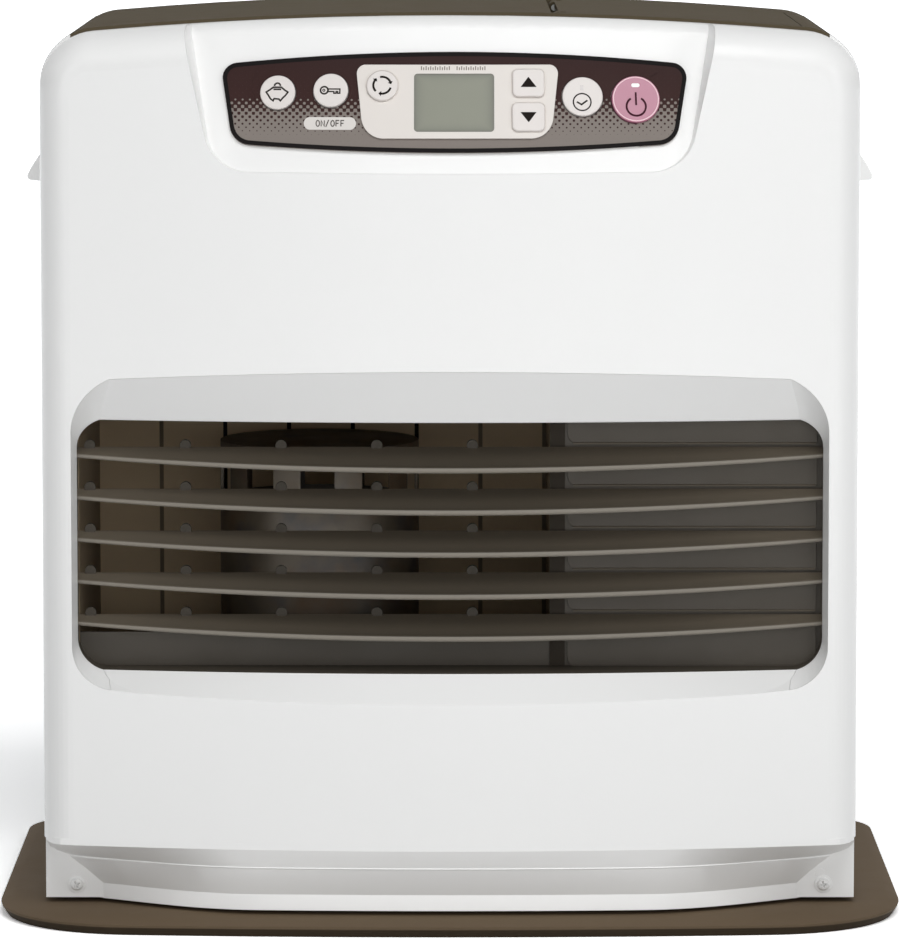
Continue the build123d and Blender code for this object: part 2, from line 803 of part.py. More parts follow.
def burner_pot():
    pot = rod((air_x, burner_y, pot_bottom), (air_x, burner_y, duct_bottom + 3), pot_radius)
    pot -= rod((air_x, burner_y, pot_bottom + 4), (air_x, burner_y, duct_bottom + 4), pot_radius - 3)
    flange = rod((air_x, burner_y, duct_bottom - 3), (air_x, burner_y, duct_bottom), pot_radius + 9)
    flange -= rod((air_x, burner_y, duct_bottom - 4), (air_x, burner_y, duct_bottom + 1), pot_radius - 3)
    pot += flange
    inlet = blower_z + 12
    pot -= rod((air_x - pot_radius - 5, burner_y, inlet), (air_x, burner_y, inlet), 8)
    pot -= rod((air_x, burner_y, inlet), (air_x + pot_radius + 5, burner_y, inlet), nozzle_radius)
    for offset, height in probes:
        pot -= rod((air_x + offset, burner_y, height), (air_x + offset, burner_y + pot_radius, height), 4)
    return pot


def flame_ring():
    low = duct_bottom + 3
    ring = rod((air_x, burner_y, low), (air_x, burner_y, low + 14), pot_radius - 4)
    ring -= rod((air_x, burner_y, low - 1), (air_x, burner_y, low + 11), pot_radius - 6)
    slots = []
    for index in range(12):
        turn = 30 * index
        slots.append(Pos(air_x, burner_y, low + 7) * Rot(0, 0, turn) * Pos(pot_radius - 5, 0, 0) * Box(8, 4, 6))
    flange = tube((air_x, burner_y, low), (air_x, burner_y, low + 1.5), pot_radius, pot_radius - 6)
    return ring - Compound(children=slots) + flange


def combustion_chamber():
    low = duct_bottom + sheet
    wall = tube((air_x, burner_y, low), (air_x, burner_y, chamber_top), chamber_radius, chamber_radius - 1.2)
    foot = tube((air_x, burner_y, low), (air_x, burner_y, low + 1.5), chamber_radius + 8, chamber_radius - 1.2)
    cap = rod((air_x, burner_y, chamber_top - 1.2), (air_x, burner_y, chamber_top), chamber_radius)
    slots = []
    for index in range(10):
        slots.append(Pos(air_x, burner_y, chamber_top - 18) * Rot(0, 0, 36 * index + 18)
                     * Pos(chamber_radius, 0, 0) * Box(8, 16, 18))
    return wall + foot + cap - Compound(children=slots)


def vaporiser():
    """Heated fuel chamber on the pot's right side, with its nozzle."""
    y, z = burner_y, blower_z + 12
    start = air_x + pot_radius - 6
    body = rod((start, y, z), (start + 34, y, z), nozzle_radius)
    body += rod((start + 7, y, z), (start + 30, y, z), 11)
    return body


def rod_probe(offset, height):
    """An ignition or flame rod that enters through the pot's rear."""
    y = burner_y + pot_radius - 3
    return rod((air_x + offset, y - 14, height), (air_x + offset, y + 26, height), 1.5) \
        + rod((air_x + offset, y - 4, height), (air_x + offset, y + 16, height), 4)


def fan_shroud():
    y = duct_rear
    plate = block((duct_left - 6, closed_from + sheet), (y, y + sheet), (duct_bottom - 8, duct_top + 8))
    hole = fan_radius + fan_clearance
    plate -= rod((air_x, y - 5, air_z), (air_x, y + 5, air_z), hole)
    plate += tube((air_x, y, air_z), (air_x, y + 24, air_z), hole + sheet, hole)
    return plate


def convection_fan():
    y = duct_rear + 3
    hub = rod((air_x, y, air_z), (air_x, y + fan_depth, air_z), fan_hub_radius)
    hub -= rod((air_x, y + 2, air_z), (air_x, y + fan_depth + 1, air_z), fan_hub_radius - 2)
    hub += rod((air_x, y, air_z), (air_x, y + fan_depth, air_z), 6)
    hub -= rod((air_x, y - 1, air_z), (air_x, y + fan_depth + 1, air_z), shaft_radius)
    blade_low = fan_hub_radius - 1.5
    span = fan_radius - blade_low
    for index in range(fan_blades):
        blade = Pos(blade_low + span / 2, 0, 0) * Rot(28, 0, 0) * Box(span, 1.8, 30)
        ring = Plane.XY * blade
        hub += Pos(air_x, y + fan_depth / 2, air_z) * Rot(0, 360 / fan_blades * index, 0) * ring
    trim = rod((air_x, y, air_z), (air_x, y + fan_depth, air_z), fan_radius)
    return hub & trim


def fan_shaft():
    y = duct_rear + 3
    return rod((air_x, y, air_z), (air_x, y + fan_depth + 8, air_z), shaft_radius)


motor_front = duct_rear + 3 + fan_depth + 1.5


def fan_motor():
    y = motor_front
    can = rod((air_x, y, air_z), (air_x, y + 24, air_z), 26)
    boss = rod((air_x, y - 1, air_z), (air_x, y, air_z), 8)
    bore = rod((air_x, y - 2, air_z), (air_x, y + 9, air_z), shaft_radius + running)
    return can + boss - bore


def motor_bracket():
    y = motor_front + 6
    ring = tube((air_x, y, air_z), (air_x, y + 2, air_z), 33, 26)
    outer = fan_radius + fan_clearance + 8
    for turn in (45, 135, 225, 315):
        ring += Pos(air_x, y + 1, air_z) * Rot(0, turn, 0) * Pos((outer + 30) / 2, 0, 0) * Box(outer - 30, 2, 8)
    ring += tube((air_x, y, air_z), (air_x, y + 2, air_z), outer + 4, outer - 4)
    legs = []
    for turn in (45, 135, 225, 315):
        legs.append(Pos(air_x, 0, air_z) * Rot(0, turn, 0) * block((outer - 3, outer + 3), (duct_rear + sheet, y + 1),
                                                                   (-3, 3)))
    for leg in legs:
        ring += leg
    return ring


def fan_guard():
    y = body_rear
    x = (air_x - guard_half_x, air_x + guard_half_x)
    z = (air_z - guard_half_z, air_z + guard_half_z)
    box = block(x, (y, y + guard_depth), z)
    box = fillet(box.edges().filter_by(Axis.Y), 10)
    box -= block((x[0] + guard_wall, x[1] - guard_wall), (y - 1, y + guard_depth - guard_wall),
                 (z[0] + guard_wall, z[1] - guard_wall))
    rows = int((2 * guard_half_z - 16) / rear_slot_pitch)
    start = air_z - (rows - 1) * rear_slot_pitch / 2
    for row in range(rows):
        for side in (-1, 1):
            middle = air_x + side * guard_half_x * 0.47
            slot = block((middle - 38, middle + 38), (y + guard_depth - 5, y + guard_depth + 1),
                         (start + row * rear_slot_pitch - 2.2, start + row * rear_slot_pitch + 2.2))
            box -= slot
    return box


def rear_filter():
    y = body_rear + guard_depth + 0.3
    x = (air_x - guard_half_x + 6, air_x + guard_half_x - 6)
    z = (air_z - guard_half_z + 6, air_z + guard_half_z - 6)
    frame = block(x, (y, y + filter_thickness), z)
    frame = fillet(frame.edges().filter_by(Axis.Y), 6)
    for column in (-1, 0, 1):
        for row in (-1, 1):
            cx = air_x + column * 54
            cz = air_z + row * 34
            frame -= block((cx - 24, cx + 24), (y + 1.2, y + filter_thickness + 1), (cz - 30, cz + 30))
    tab = block((air_x - 12, air_x + 12), (y, y + filter_thickness + 4), (z[1], z[1] + 6))
    return frame + tab


# Fuel side

def rounded_column(x, y, z, half_x, half_y, height, radius):
    return Pos(x, y, z) * extrude(RectangleRounded(2 * half_x, 2 * half_y, radius), height)


def tank_well():
    half_x = tank_width / 2 + tank_clearance
    half_y = tank_depth / 2 + tank_clearance
    low = tank_bottom - 8
    high = collar_bottom
    well = rounded_column(tank_x, tank_y, low, half_x + sheet, half_y + sheet, high - low, tank_corner + 3)
    well -= rounded_column(tank_x, tank_y, low + 8, half_x, half_y, high, tank_corner + 2)
    well -= rod((tank_x, tank_y, low - 1), (tank_x, tank_y, low + 20), 34)
    return well


def fuel_tank():
    tank = rounded_column(tank_x, tank_y, tank_bottom, tank_width / 2, tank_depth / 2, tank_top - tank_bottom,
                          tank_corner)
    tank = fillet(tank.faces().sort_by(Axis.Z)[-1].edges(), 6)
    tank = fillet(tank.faces().sort_by(Axis.Z)[0].edges(), 6)
    for z in (150.0, 230.0, 310.0):
        groove = rounded_column(tank_x, tank_y, z, tank_width / 2 + 1, tank_depth / 2 + 1, 6, tank_corner)
        groove -= rounded_column(tank_x, tank_y, z - 1, tank_width / 2 - 1.2, tank_depth / 2 - 1.2, 8, tank_corner)
        tank -= groove
    hollow = rounded_column(tank_x, tank_y, tank_bottom + tank_wall, tank_width / 2 - 2.6, tank_depth / 2 - 2.6,
                            tank_top - tank_bottom - 2 * tank_wall, tank_corner - 3)
    tank -= hollow
    neck = rod((tank_x, tank_y, tank_bottom - 5), (tank_x, tank_y, tank_bottom + 1), 18)
    return tank + neck


def tank_cap():
    low = tank_bottom - 20
    cap = rod((tank_x, tank_y, low), (tank_x, tank_y, tank_bottom - 0.2), 23)
    cap -= rod((tank_x, tank_y, tank_bottom - 5), (tank_x, tank_y, tank_bottom), 18)
    for index in range(18):
        notch = Pos(tank_x, tank_y, low + 8) * Rot(0, 0, 20 * index) * Pos(23.4, 0, 0) * Box(1.6, 2, 17)
        cap -= notch
    return cap + rod((tank_x, tank_y, low - 3), (tank_x, tank_y, low), 6)


def tank_handle():
    half = 38.0
    low = tank_top
    high = low + 18
    outer = block((tank_x - 9, tank_x + 9), (tank_y - half, tank_y + half), (low, high))
    outer = fillet(outer.edges().filter_by(Axis.X).group_by(Axis.Z)[-1], 9)
    inner = block((tank_x - 10, tank_x + 10), (tank_y - half + 6, tank_y + half - 6), (low - 1, high - 4))
    return outer - inner


def tank_gauge():
    return rod((tank_x + 30, tank_y - 50, tank_top), (tank_x + 30, tank_y - 50, tank_top + 2.5), 11)


def fixed_tank():
    tank = block((22, 178), (-74, 62), (sump_bottom, sump_top))
    tank = fillet(tank.edges().filter_by(Axis.Z), 12)
    tank = fillet(tank.faces().sort_by(Axis.Z)[-1].edges(), 4)
    tank -= rod((tank_x, tank_y, sump_bottom + 3), (tank_x, tank_y, sump_top + 1), 28.0)
    collar = tube((tank_x, tank_y, sump_top), (tank_x, tank_y, sump_top + 8), 31, 28)
    tank -= rod((pump_x, pump_y, sump_bottom + 3), (pump_x, pump_y, sump_top + 1), 11)
    for x in (tank_x - 42, tank_x + 42):
        for y in (tank_y - 52, tank_y + 52):
            tank += rod((x, y, sump_top - 2), (x, y, tank_bottom - 8), 5)
    return tank + collar


def fuel_filter():
    cup = rod((tank_x, tank_y, sump_bottom + 8), (tank_x, tank_y, sump_top), 27.6)
    cup -= rod((tank_x, tank_y, sump_bottom + 10), (tank_x, tank_y, sump_top + 1), 26.2)
    lip = tube((tank_x, tank_y, sump_top + 8), (tank_x, tank_y, sump_top + 9.2), 31, 26.2)
    sleeve = tube((tank_x, tank_y, sump_top), (tank_x, tank_y, sump_top + 8), 27.6, 26.2)
    return cup + sleeve + lip


def fuel_pump():
    body = rod((pump_x, pump_y, sump_bottom + 8), (pump_x, pump_y, sump_top), 11)
    body += rod((pump_x, pump_y, sump_top), (pump_x, pump_y, sump_top + 4), 14)
    body += rod((pump_x, pump_y, sump_top + 4), (pump_x, pump_y, sump_top + 34), 12)
    return body + rod((pump_x, pump_y, sump_top + 34), (pump_x, pump_y, sump_top + 40), 3.2)


def fuel_pipe():
    top = sump_top + 40
    vap_x = air_x + pot_radius - 6 + 34
    z = blower_z + 12
    turn_x = vap_x + 10
    path = FilletPolyline((pump_x, pump_y, top), (pump_x, pump_y, top + 9), (turn_x, pump_y, top + 9),
                          (turn_x, burner_y, top + 9), (turn_x, burner_y, z), (vap_x, burner_y, z), radius=4)
    section = Plane(origin=path @ 0, z_dir=path % 0) * Circle(1.8)
    return sweep(section, path)


# Combustion air

def blower_housing():
    y = (blower_y - blower_width / 2, blower_y + blower_width / 2)
    drum = rod((blower_x, y[0], blower_z), (blower_x, y[1], blower_z), blower_radius)
    spout = block((blower_x, blower_x + blower_spout), y, (blower_z + 2, blower_z + 22))
    shell = drum + spout
    inner = rod((blower_x, y[0] + 2, blower_z), (blower_x, y[1] - 2, blower_z), blower_radius - 2)
    inner += block((blower_x, blower_x + 50), (y[0] + 2, y[1] - 2), (blower_z + 4, blower_z + 20))
    shell -= inner
    shell -= rod((blower_x, y[0] - 1, blower_z), (blower_x, y[0] + 5, blower_z), 13)
    shell -= rod((blower_x, y[1] - 5, blower_z), (blower_x, y[1] + 1, blower_z), 5)
    feet = block((blower_x - 20, blower_x + 20), (y[0] + 4, y[1] - 4),
                 (body_bottom + 1.7, blower_z - blower_radius + 2))
    return shell + (feet - rod((blower_x, y[0], blower_z), (blower_x, y[1], blower_z), blower_radius - 1))


def blower_wheel():
    y = (blower_y - blower_width / 2 + 4, blower_y + blower_width / 2 - 4)
    disc = rod((blower_x, y[1] - 1.5, blower_z), (blower_x, y[1], blower_z), wheel_radius)
    ring = tube((blower_x, y[0], blower_z), (blower_x, y[0] + 1.5, blower_z), wheel_radius, wheel_radius - 6)
    wheel = disc + ring + rod((blower_x, y[1] - 12, blower_z), (blower_x, y[1], blower_z), 5)
    for index in range(18):
        vane = Pos(blower_x, (y[0] + y[1]) / 2, blower_z) * Rot(0, 20 * index, 0) \
            * Pos(wheel_radius - 3.2, 0, 0) * Rot(0, 25, 0) * Box(5.6, y[1] - y[0], 0.9)
        wheel += vane
    shaft = rod((blower_x, y[1] - 10, blower_z), (blower_x, y[1] + 14, blower_z), 2)
    return wheel + shaft


def blower_motor():
    y = blower_y + blower_width / 2
    can = rod((blower_x, y, blower_z), (blower_x, y + 34, blower_z), 21)
    return can - rod((blower_x, y - 1, blower_z), (blower_x, y + 14, blower_z), 2 + running)


def air_pipe():
    """From the blower's spout across to the side of the burner pot."""
    start = blower_x + blower_spout
    half = blower_width / 2
    low, high = blower_z + 2, blower_z + 22
    pipe = block((start, air_x - pot_radius / 2), (blower_y - half, blower_y + half), (low, high))
    pipe -= block((start - 1, air_x), (blower_y - half + 2, blower_y + half - 2), (low + 2, high - 2))
    return pipe - rod((air_x, burner_y, 0), (air_x, burner_y, 200), pot_radius)


# Electrical pieces

def power_board():
    z = body_bottom + 1.7
    board = block((-60, 10), (45, 105), (z + 6, z + 7.6))
    for x, y in ((-55, 50), (5, 50), (-55, 100), (5, 100)):
        board += rod((x, y, z), (x, y, z + 6), 3)
    board += block((-52, -24), (56, 92), (z + 7.6, z + 32))
    board += rod((-8, 62, z + 7.6), (-8, 62, z + 30), 8)
    return board + block((-18, 2), (78, 98), (z + 7.6, z + 20))


def tilt_switch():
    z = body_bottom + 1.7
    return block((-176, -152), (-80, -56), (z, z + 22)) + rod((-164, -68, z + 22), (-164, -68, z + 27), 7)


def room_sensor():
    x, y, z = sensor_x, body_rear, sensor_z
    return rod((x, y, z), (x, y + 9, z), 5) + rod((x, y - 6, z), (x, y, z), 3)


def cord_grommet():
    x, y, z = grommet_x, body_rear, grommet_z
    return rod((x, y - 4, z), (x, y + 6, z), 6.9) + rod((x, y, z), (x, y + 3, z), 10)


def pan_screw(start, direction, radius=1.7, head=3.6):
    """A pan-head screw whose head sits on start and whose shank runs back into the work."""
    start = Vector(*start)
    direction = Vector(*direction)
    return rod(start - direction * 8, start, radius) + rod(start, start + direction * 2.2, head)


def base_feet():
    low = tray_floor
    high = body_bottom + 0.5
    feet = []
    for x in (-150, 150):
        for y in (-70, 90):
            feet.append(rod((x, y, low), (x, y, high), 11))
    return feet


# Write every sub-part

save("base_tray", base_tray())
save("base_feet", *base_feet())
save("base_pan", base_pan())
save("front_panel", front_panel())
save("left_side_panel", side_panel(-1))
save("right_side_panel", side_panel(1))
save("back_panel", back_panel())
save("top_cover", top_cover())
save("tank_lid", tank_lid())
save("lid_hinge_pins", *lid_pins())
save("left_grip", grip(-1))
save("right_grip", grip(1))
save("decor_insert", decor_insert())
save("button_plate", button_plate())
save("display_window", display_window())
for button in buttons:
    save(button[0], push_button(button))
save("control_board", control_board())
save("louvre_grille", louvre_grille())
save("grille_backplate", grille_backplate())
save("warm_air_duct", warm_air_duct())
save("heat_shield", heat_shield())
save("burner_pot", burner_pot())
save("flame_ring", flame_ring())
save("combustion_chamber", combustion_chamber())
save("vaporiser", vaporiser())
save("igniter", rod_probe(*probes[0]))
save("flame_sensor", rod_probe(*probes[1]))
save("fan_shroud", fan_shroud())
save("convection_fan", convection_fan())
save("fan_shaft", fan_shaft())
save("fan_motor", fan_motor())
save("motor_bracket", motor_bracket())
save("fan_guard", fan_guard())
save("rear_filter", rear_filter())
save("tank_well", tank_well())
save("fuel_tank", fuel_tank())
save("tank_cap", tank_cap())
save("tank_handle", tank_handle())
save("tank_gauge", tank_gauge())
save("fixed_tank", fixed_tank())
save("fuel_filter", fuel_filter())
save("fuel_pump", fuel_pump())
save("fuel_pipe", fuel_pipe())
save("blower_housing", blower_housing())
save("blower_wheel", blower_wheel())
save("blower_motor", blower_motor())
save("air_pipe", air_pipe())
save("power_board", power_board())
save("tilt_switch", tilt_switch())
save("room_sensor", room_sensor())
save("cord_grommet", cord_grommet())
save("front_screws", *[pan_screw((side * screw_x, flange_front, screw_z), (0, -1, 0), 1.9, 4.2) for side in (-1, 1)])
save("rear_screws", *[pan_screw((x, body_rear, z), (0, 1, 0)) for x, z in panel_screw_spots])
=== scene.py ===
import json
from math import asin, cos, pi, radians, sin, sqrt, tan

import bmesh
import bpy
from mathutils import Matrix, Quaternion, Vector


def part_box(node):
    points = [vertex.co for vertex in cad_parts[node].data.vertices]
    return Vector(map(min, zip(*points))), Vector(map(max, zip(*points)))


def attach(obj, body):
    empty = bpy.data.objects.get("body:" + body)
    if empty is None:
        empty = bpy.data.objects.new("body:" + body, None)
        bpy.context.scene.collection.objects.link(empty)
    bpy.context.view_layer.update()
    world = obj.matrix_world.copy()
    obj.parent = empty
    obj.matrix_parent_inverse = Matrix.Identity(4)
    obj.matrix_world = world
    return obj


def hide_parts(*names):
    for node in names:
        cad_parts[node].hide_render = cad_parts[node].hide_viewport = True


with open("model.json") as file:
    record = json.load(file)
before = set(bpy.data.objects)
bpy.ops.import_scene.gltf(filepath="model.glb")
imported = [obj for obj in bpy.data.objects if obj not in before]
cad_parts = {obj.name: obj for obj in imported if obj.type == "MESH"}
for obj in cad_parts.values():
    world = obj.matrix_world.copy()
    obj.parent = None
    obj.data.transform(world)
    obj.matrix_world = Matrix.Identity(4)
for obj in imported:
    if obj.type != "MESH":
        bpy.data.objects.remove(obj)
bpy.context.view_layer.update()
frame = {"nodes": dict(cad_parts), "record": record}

# The looks of a portable paraffin fan heater. Metres, +Y to the rear, floor at zero.

MM = 0.001
nodes = frame["nodes"]
record = frame["record"]

# Sizes of the bowed front and its leaning control recess
HALF_BODY = 0.1875
FACE_FRONT = -0.140
FACE_BOW = 0.020
BOW_RADIUS = (HALF_BODY ** 2 + FACE_BOW ** 2) / (2 * FACE_BOW)
BOW_CENTRE = FACE_FRONT + BOW_RADIUS
RAMP_TILT = radians(20)
RAMP_START = 0.350
RAMP_STEP = 0.0016
INSERT_THICKNESS = 0.0014
PLATE_THICKNESS = 0.0010

# Printed marks: how thick they are, how wide their lines are, and their grain
INK = 0.00008
LINE = 0.00075
BORDER = 0.0019
INK_GRAIN = 0.000005

# Outlet, its louvres and their tabs, and the closed right part, in millimetres
OPENING_HALF = 171.5
OPENING_LOW = 118.5
OPENING_HIGH = 234.0
OPENING_CORNER_LOW = 14.0
OPENING_CORNER_HIGH = 11.5
HOOD_DEPTH = 13.0
RING_WIDTH = 5.0
RING_SETBACK = 0.2
RING_BACK = -98.0
FIN_COUNT = 5
FIN_PITCH = 19.4
FIN_TOP = 220.3
FIN_BACK = -101.0
FIN_TILT = radians(17.2)
FIN_THICKNESS = 2.2
FIN_SETBACK = 1.2
FIN_STEPS = 24
NOSE_RADIUS = 1.45
NOSE_TAPER = 0.45
NOSE_LENGTH = 3.2
NOSE_HALF_ANGLE = 75
TAB_RADIUS = 2.6
TAB_LIFT = 0.8
TAB_FRONT = FIN_BACK - 1.6
TAB_BACK = FIN_BACK + 1
TAB_PLACES = [10.3 - 44 * index for index in range(5)]
CLOSED_FROM = 52.6
GAP_FROM = 46.0
PLATE_GAUGE = 1.2
PLATE_OVERLAP = 3
DECK_TOP = 134.0
DECK_DROP = 5
PAD_RISE = 1.5
PAD_CORNER = 5.0
PAD_LEFT = 1.6
PAD_RIGHT = 2.5
PAD_OVER_FIN = 1.1
PAD_UNDER_FIN = 2.0
LIP_RISE = 0.6
LIP_HEIGHT = 0.9
LIP_ROOT = 0.3

# Strips of the heat baffle behind the burner
BAFFLE_COUNT = 7
BAFFLE_GAP = 2.0
BAFFLE_FRONT = 74.0
BAFFLE_GAUGE = 1.0
BAFFLE_LEFT = -171.0
BAFFLE_SPAN = 218.0
BAFFLE_LOW = 113.0
BAFFLE_HIGH = 261.0

# Undercut chin: heights of its rings, and how far its foot stands back
CHIN_TOP = 40.0
CHIN_SHOULDER = 38.4
CHIN_CREASE = 29.4
CREASE_HALF = 0.4
STRIP_TOP = 16.3
BODY_BOTTOM = 9.1
CHIN_DEPTH = 10.7
CREASE_SHARE = 0.41
STRIP_LEAN = 1.5
CHIN_FLAT_SHARE = 0.47
CHIN_FLATTENING = 0.45
CHIN_PULLS = (0.4, 0.3)
CHIN_ELBOW_SLOPE = 1.25
CHIN_FLAT_STEPS = 9
CHIN_REAR = -71.0
FLANGE_FRONT = -97.0

# Drip tray: heights, its bow and corners, and how far its sloping apron reaches in from the front
TRAY_HALF = 209.9
TRAY_FRONT = -149.9
TRAY_REAR = 149.9
TRAY_TOP = 7.3
TRAY_EDGE = 5.0
TRAY_FLOOR = 2.0
TRAY_APRON = 24.0
TRAY_BOW = 6.0
TRAY_BOW_STEPS = 12
TRAY_CORNER_ACROSS = 60
TRAY_CORNER_ALONG = 76
TRAY_CORNER_PULL = 33
TRAY_REAR_RADIUS = 30
TRAY_REAR_LEAST = 8
TRAY_WELL_MARGIN = 15
TRAY_WELL_REAR = 108.5
TRAY_WELL_CORNER = 45
TRAY_WELL_STRAIGHT = 105
CURVE_STEPS = 14
DISC_STEPS = 24

# White skins over the ends of the brown cover
SKIN_FROM = 173.5
SKIN_LIFT = 0.15

# Keys on the plate: half width, half height and corner radius. Then the rings round them: how clear and
# wide they are, and how far under the caps they lie
KEYS = {
    "recirculate_button": (7.1, 7.1, 7.1),
    "up_button": (7.2, 6.5, 2.6),
    "down_button": (7.4, 6.7, 2.6),
}
KEY_CLEARANCE = 0.03
SURROUND_WIDTH = 0.6
SURROUND_TOP = -1.72
SURROUND_LOW = -2.4

# Bed under the lid's hinge: its section from the hinge's axis, and how far it reaches past the lid
HINGE_BED = [(-4.5, -3.1), (4.0, -3.1), (4.0, -3.8), (-4.5, -3.8)]
HINGE_BED_REACH = 0.3

# Screws: the front ones' places and radius, how far the heads are turned, the rear ones' seat, and half
# the section of a flanged pan head in shares of its radius, from its middle out and down to its seat
SCREW_X = 173.3
SCREW_Z = 15.7
SCREW_RADIUS = 4.2
SCREW_TURNS = ((-1, 0.5), (1, 0.2))
REAR_SCREW_TURN = 0.3
PLUG_RADIUS = 2.2
BACK_FACE = 116.0
HEAD_STEPS = 40
HEAD_PROFILE = [(0, 0.62), (0.3, 0.6), (0.52, 0.52), (0.64, 0.38), (0.68, 0.16), (0.72, 0.12), (0.96, 0.1),
                (1, 0.05), (1, -0.1)]

# Grips: the hooded lip's section out from the wall and up, its half length, and its closed ends
GRIP_HALF = 44.0
GRIP_END = 2.4
GRIP_HOLLOW_END = 2
GRIP_CUT = 1.19
HOOD = [(0.0, 357.0), (4.2, 351.4), (8.0, 345.6), (9.7, 342.3), (10.0, 341.2), (9.6, 340.2), (8.8, 339.6)]
HOOD_UNDER = [(7.4, 340.6), (6.9, 342.2), (5.9, 344.1), (-1.0, 353.9)]
HOOD_FOOT = (0.0, 338.6)

# Outline of the printed insert, in millimetres across and above RAMP_START:
# left and right corners, their height, the bulge of the edge between them, and the corners' radius
INSERT_HIGH = (-103.9, 108.2, 46.4, 5.8, 6.8)
INSERT_LOW = (-98.6, 102.6, 11.2, 3.8, 9.5)
WING_FROM = 80
WING_LIFTS = (0.0002, INSERT_THICKNESS + 0.00001)
PILL = (-54.3, 20.3)
PILL_SIZE = (23.6, 5.6)
WORDS = (-60.6, 19.0)
WORDS_HEIGHT = 2.6

# Ticks over the display: where each row starts, their pitch and number, and their foot and top
TICK_STARTS = (-12.9, 3.2)
TICK_PITCH = 1.05
TICK_COUNT = 13
TICK_LOW = 43.8
TICK_HIGH = 45.5

# Camera, fitted to the photograph
PHOTO_WIDTH = 900
PHOTO_HEIGHT = 939
FOCAL_PIXELS = 6229
SENSOR = 36.0
CAMERA_PLACE = (0.0, -2.950, 0.5299)
CAMERA_PITCH = radians(6.41)

# Floor: the tint that light bounces from, and the greys near and far that the camera sees, which come out white
FLOOR_TINT = 0.8
FLOOR_SEEN = 2.6
FLOOR_FAR = 7.0
FLOOR_BLEND = (0.35, 3.0)
FLOOR_REACH = 40

# Light: the world's level, and the lamps' places, the height that they face, their width, height and power
WORLD_LEVEL = 0.24
WORLD_TINT = (0.97, 0.985, 1.0, 1)
LAMPS = {
    "key": ((0.35, -1.7, 2.1), 0.22, 1.4, 1.2, 21),
    "front": ((0.5, -3.2, 0.75), 0.25, 2.2, 1.0, 15.5),
    "left": ((-2.0, -2.0, 0.9), 0.25, 1.0, 1.2, 8),
    "right": ((2.2, -1.8, 0.9), 0.25, 1.0, 1.2, 11),
}

materials = {}


# Camera, floor and light

def link(name, data):
    """New data as an object of the scene."""
    item = bpy.data.objects.new(name, data)
    bpy.context.scene.collection.objects.link(item)
    return item


def link_mesh(name, mesh):
    """A bmesh as an object of the scene."""
    data = bpy.data.meshes.new(name)
    mesh.to_mesh(data)
    mesh.free()
    return link(name, data)


def set_camera():
    """The camera that took the photograph, as far as its picture tells."""
    data = bpy.data.cameras.new("camera")
    data.sensor_width = SENSOR
    data.lens = FOCAL_PIXELS / max(PHOTO_WIDTH, PHOTO_HEIGHT) * SENSOR
    data.clip_end = 200
    camera = link("camera", data)
    camera.location = CAMERA_PLACE
    camera.rotation_euler = (pi / 2 - CAMERA_PITCH, 0, 0)
    bpy.context.scene.camera = camera


def area_light(name, place, aim, width, height, power):
    """A lamp that faces a point at the height aim over the middle of the floor."""
    data = bpy.data.lights.new(name, "AREA")
    data.shape = "RECTANGLE"
    data.size = width
    data.size_y = height
    data.energy = power
    lamp = link(name, data)
    lamp.location = place
    lamp.rotation_euler = (Vector((0, 0, aim)) - Vector(place)).to_track_quat("-Z", "Y").to_euler()


class Graph:
    """Shader nodes that are added one at a time."""

    def __init__(self, owner):
        owner.use_nodes = True
        self.tree = owner.node_tree

    def add(self, kind, inputs=(), **settings):
        """A new node with its settings, and values or links for its inputs."""
        node = self.tree.nodes.new(kind)
        for key, value in settings.items():
            setattr(node, key, value)
        for key, value in dict(inputs).items():
            self.set(node, key, value)
        return node

    def set(self, node, key, value):
        if isinstance(value, bpy.types.NodeSocket):
            self.tree.links.new(value, node.inputs[key])
        else:
            node.inputs[key].default_value = value

    def math(self, operation, a, b=0.0, clamp=False):
        return self.add("ShaderNodeMath", {0: a, 1: b}, operation=operation, use_clamp=clamp).outputs[0]

    def blend(self, factor, a, b):
        """A colour between a and b."""
        return self.add("ShaderNodeMix", {0: factor, 6: a, 7: b}, data_type="RGBA").outputs[2]

    def spread(self, value, low, high, new_low, new_high):
        """A value moved from one range to another."""
        ends = {"From Min": low, "From Max": high, "To Min": new_low, "To Max": new_high}
        return self.add("ShaderNodeMapRange", {"Value": value, **ends}).outputs[0]

    def seen_directly(self):
        """One for what the camera, metal and glass see, and nought for light on its way."""
        rays = self.add("ShaderNodeLightPath").outputs
        seen = 0
        for ray in ("Is Camera Ray", "Is Transmission Ray", "Is Glossy Ray"):
            seen = self.math("MAXIMUM", rays[ray], seen)
        return seen


def set_world():
    """Even light from all round, where the camera, metal and glass see white."""
    world = bpy.data.worlds.new("studio")
    bpy.context.scene.world = world
    graph = Graph(world)
    graph.tree.nodes.clear()
    tinted = graph.add("ShaderNodeBackground", {"Color": WORLD_TINT, "Strength": WORLD_LEVEL}).outputs[0]
    white = graph.add("ShaderNodeBackground", {"Color": (1, 1, 1, 1)}).outputs[0]
    mixed = graph.add("ShaderNodeMixShader", {0: graph.seen_directly(), 1: tinted, 2: white}).outputs[0]
    graph.add("ShaderNodeOutputWorld", {"Surface": mixed})


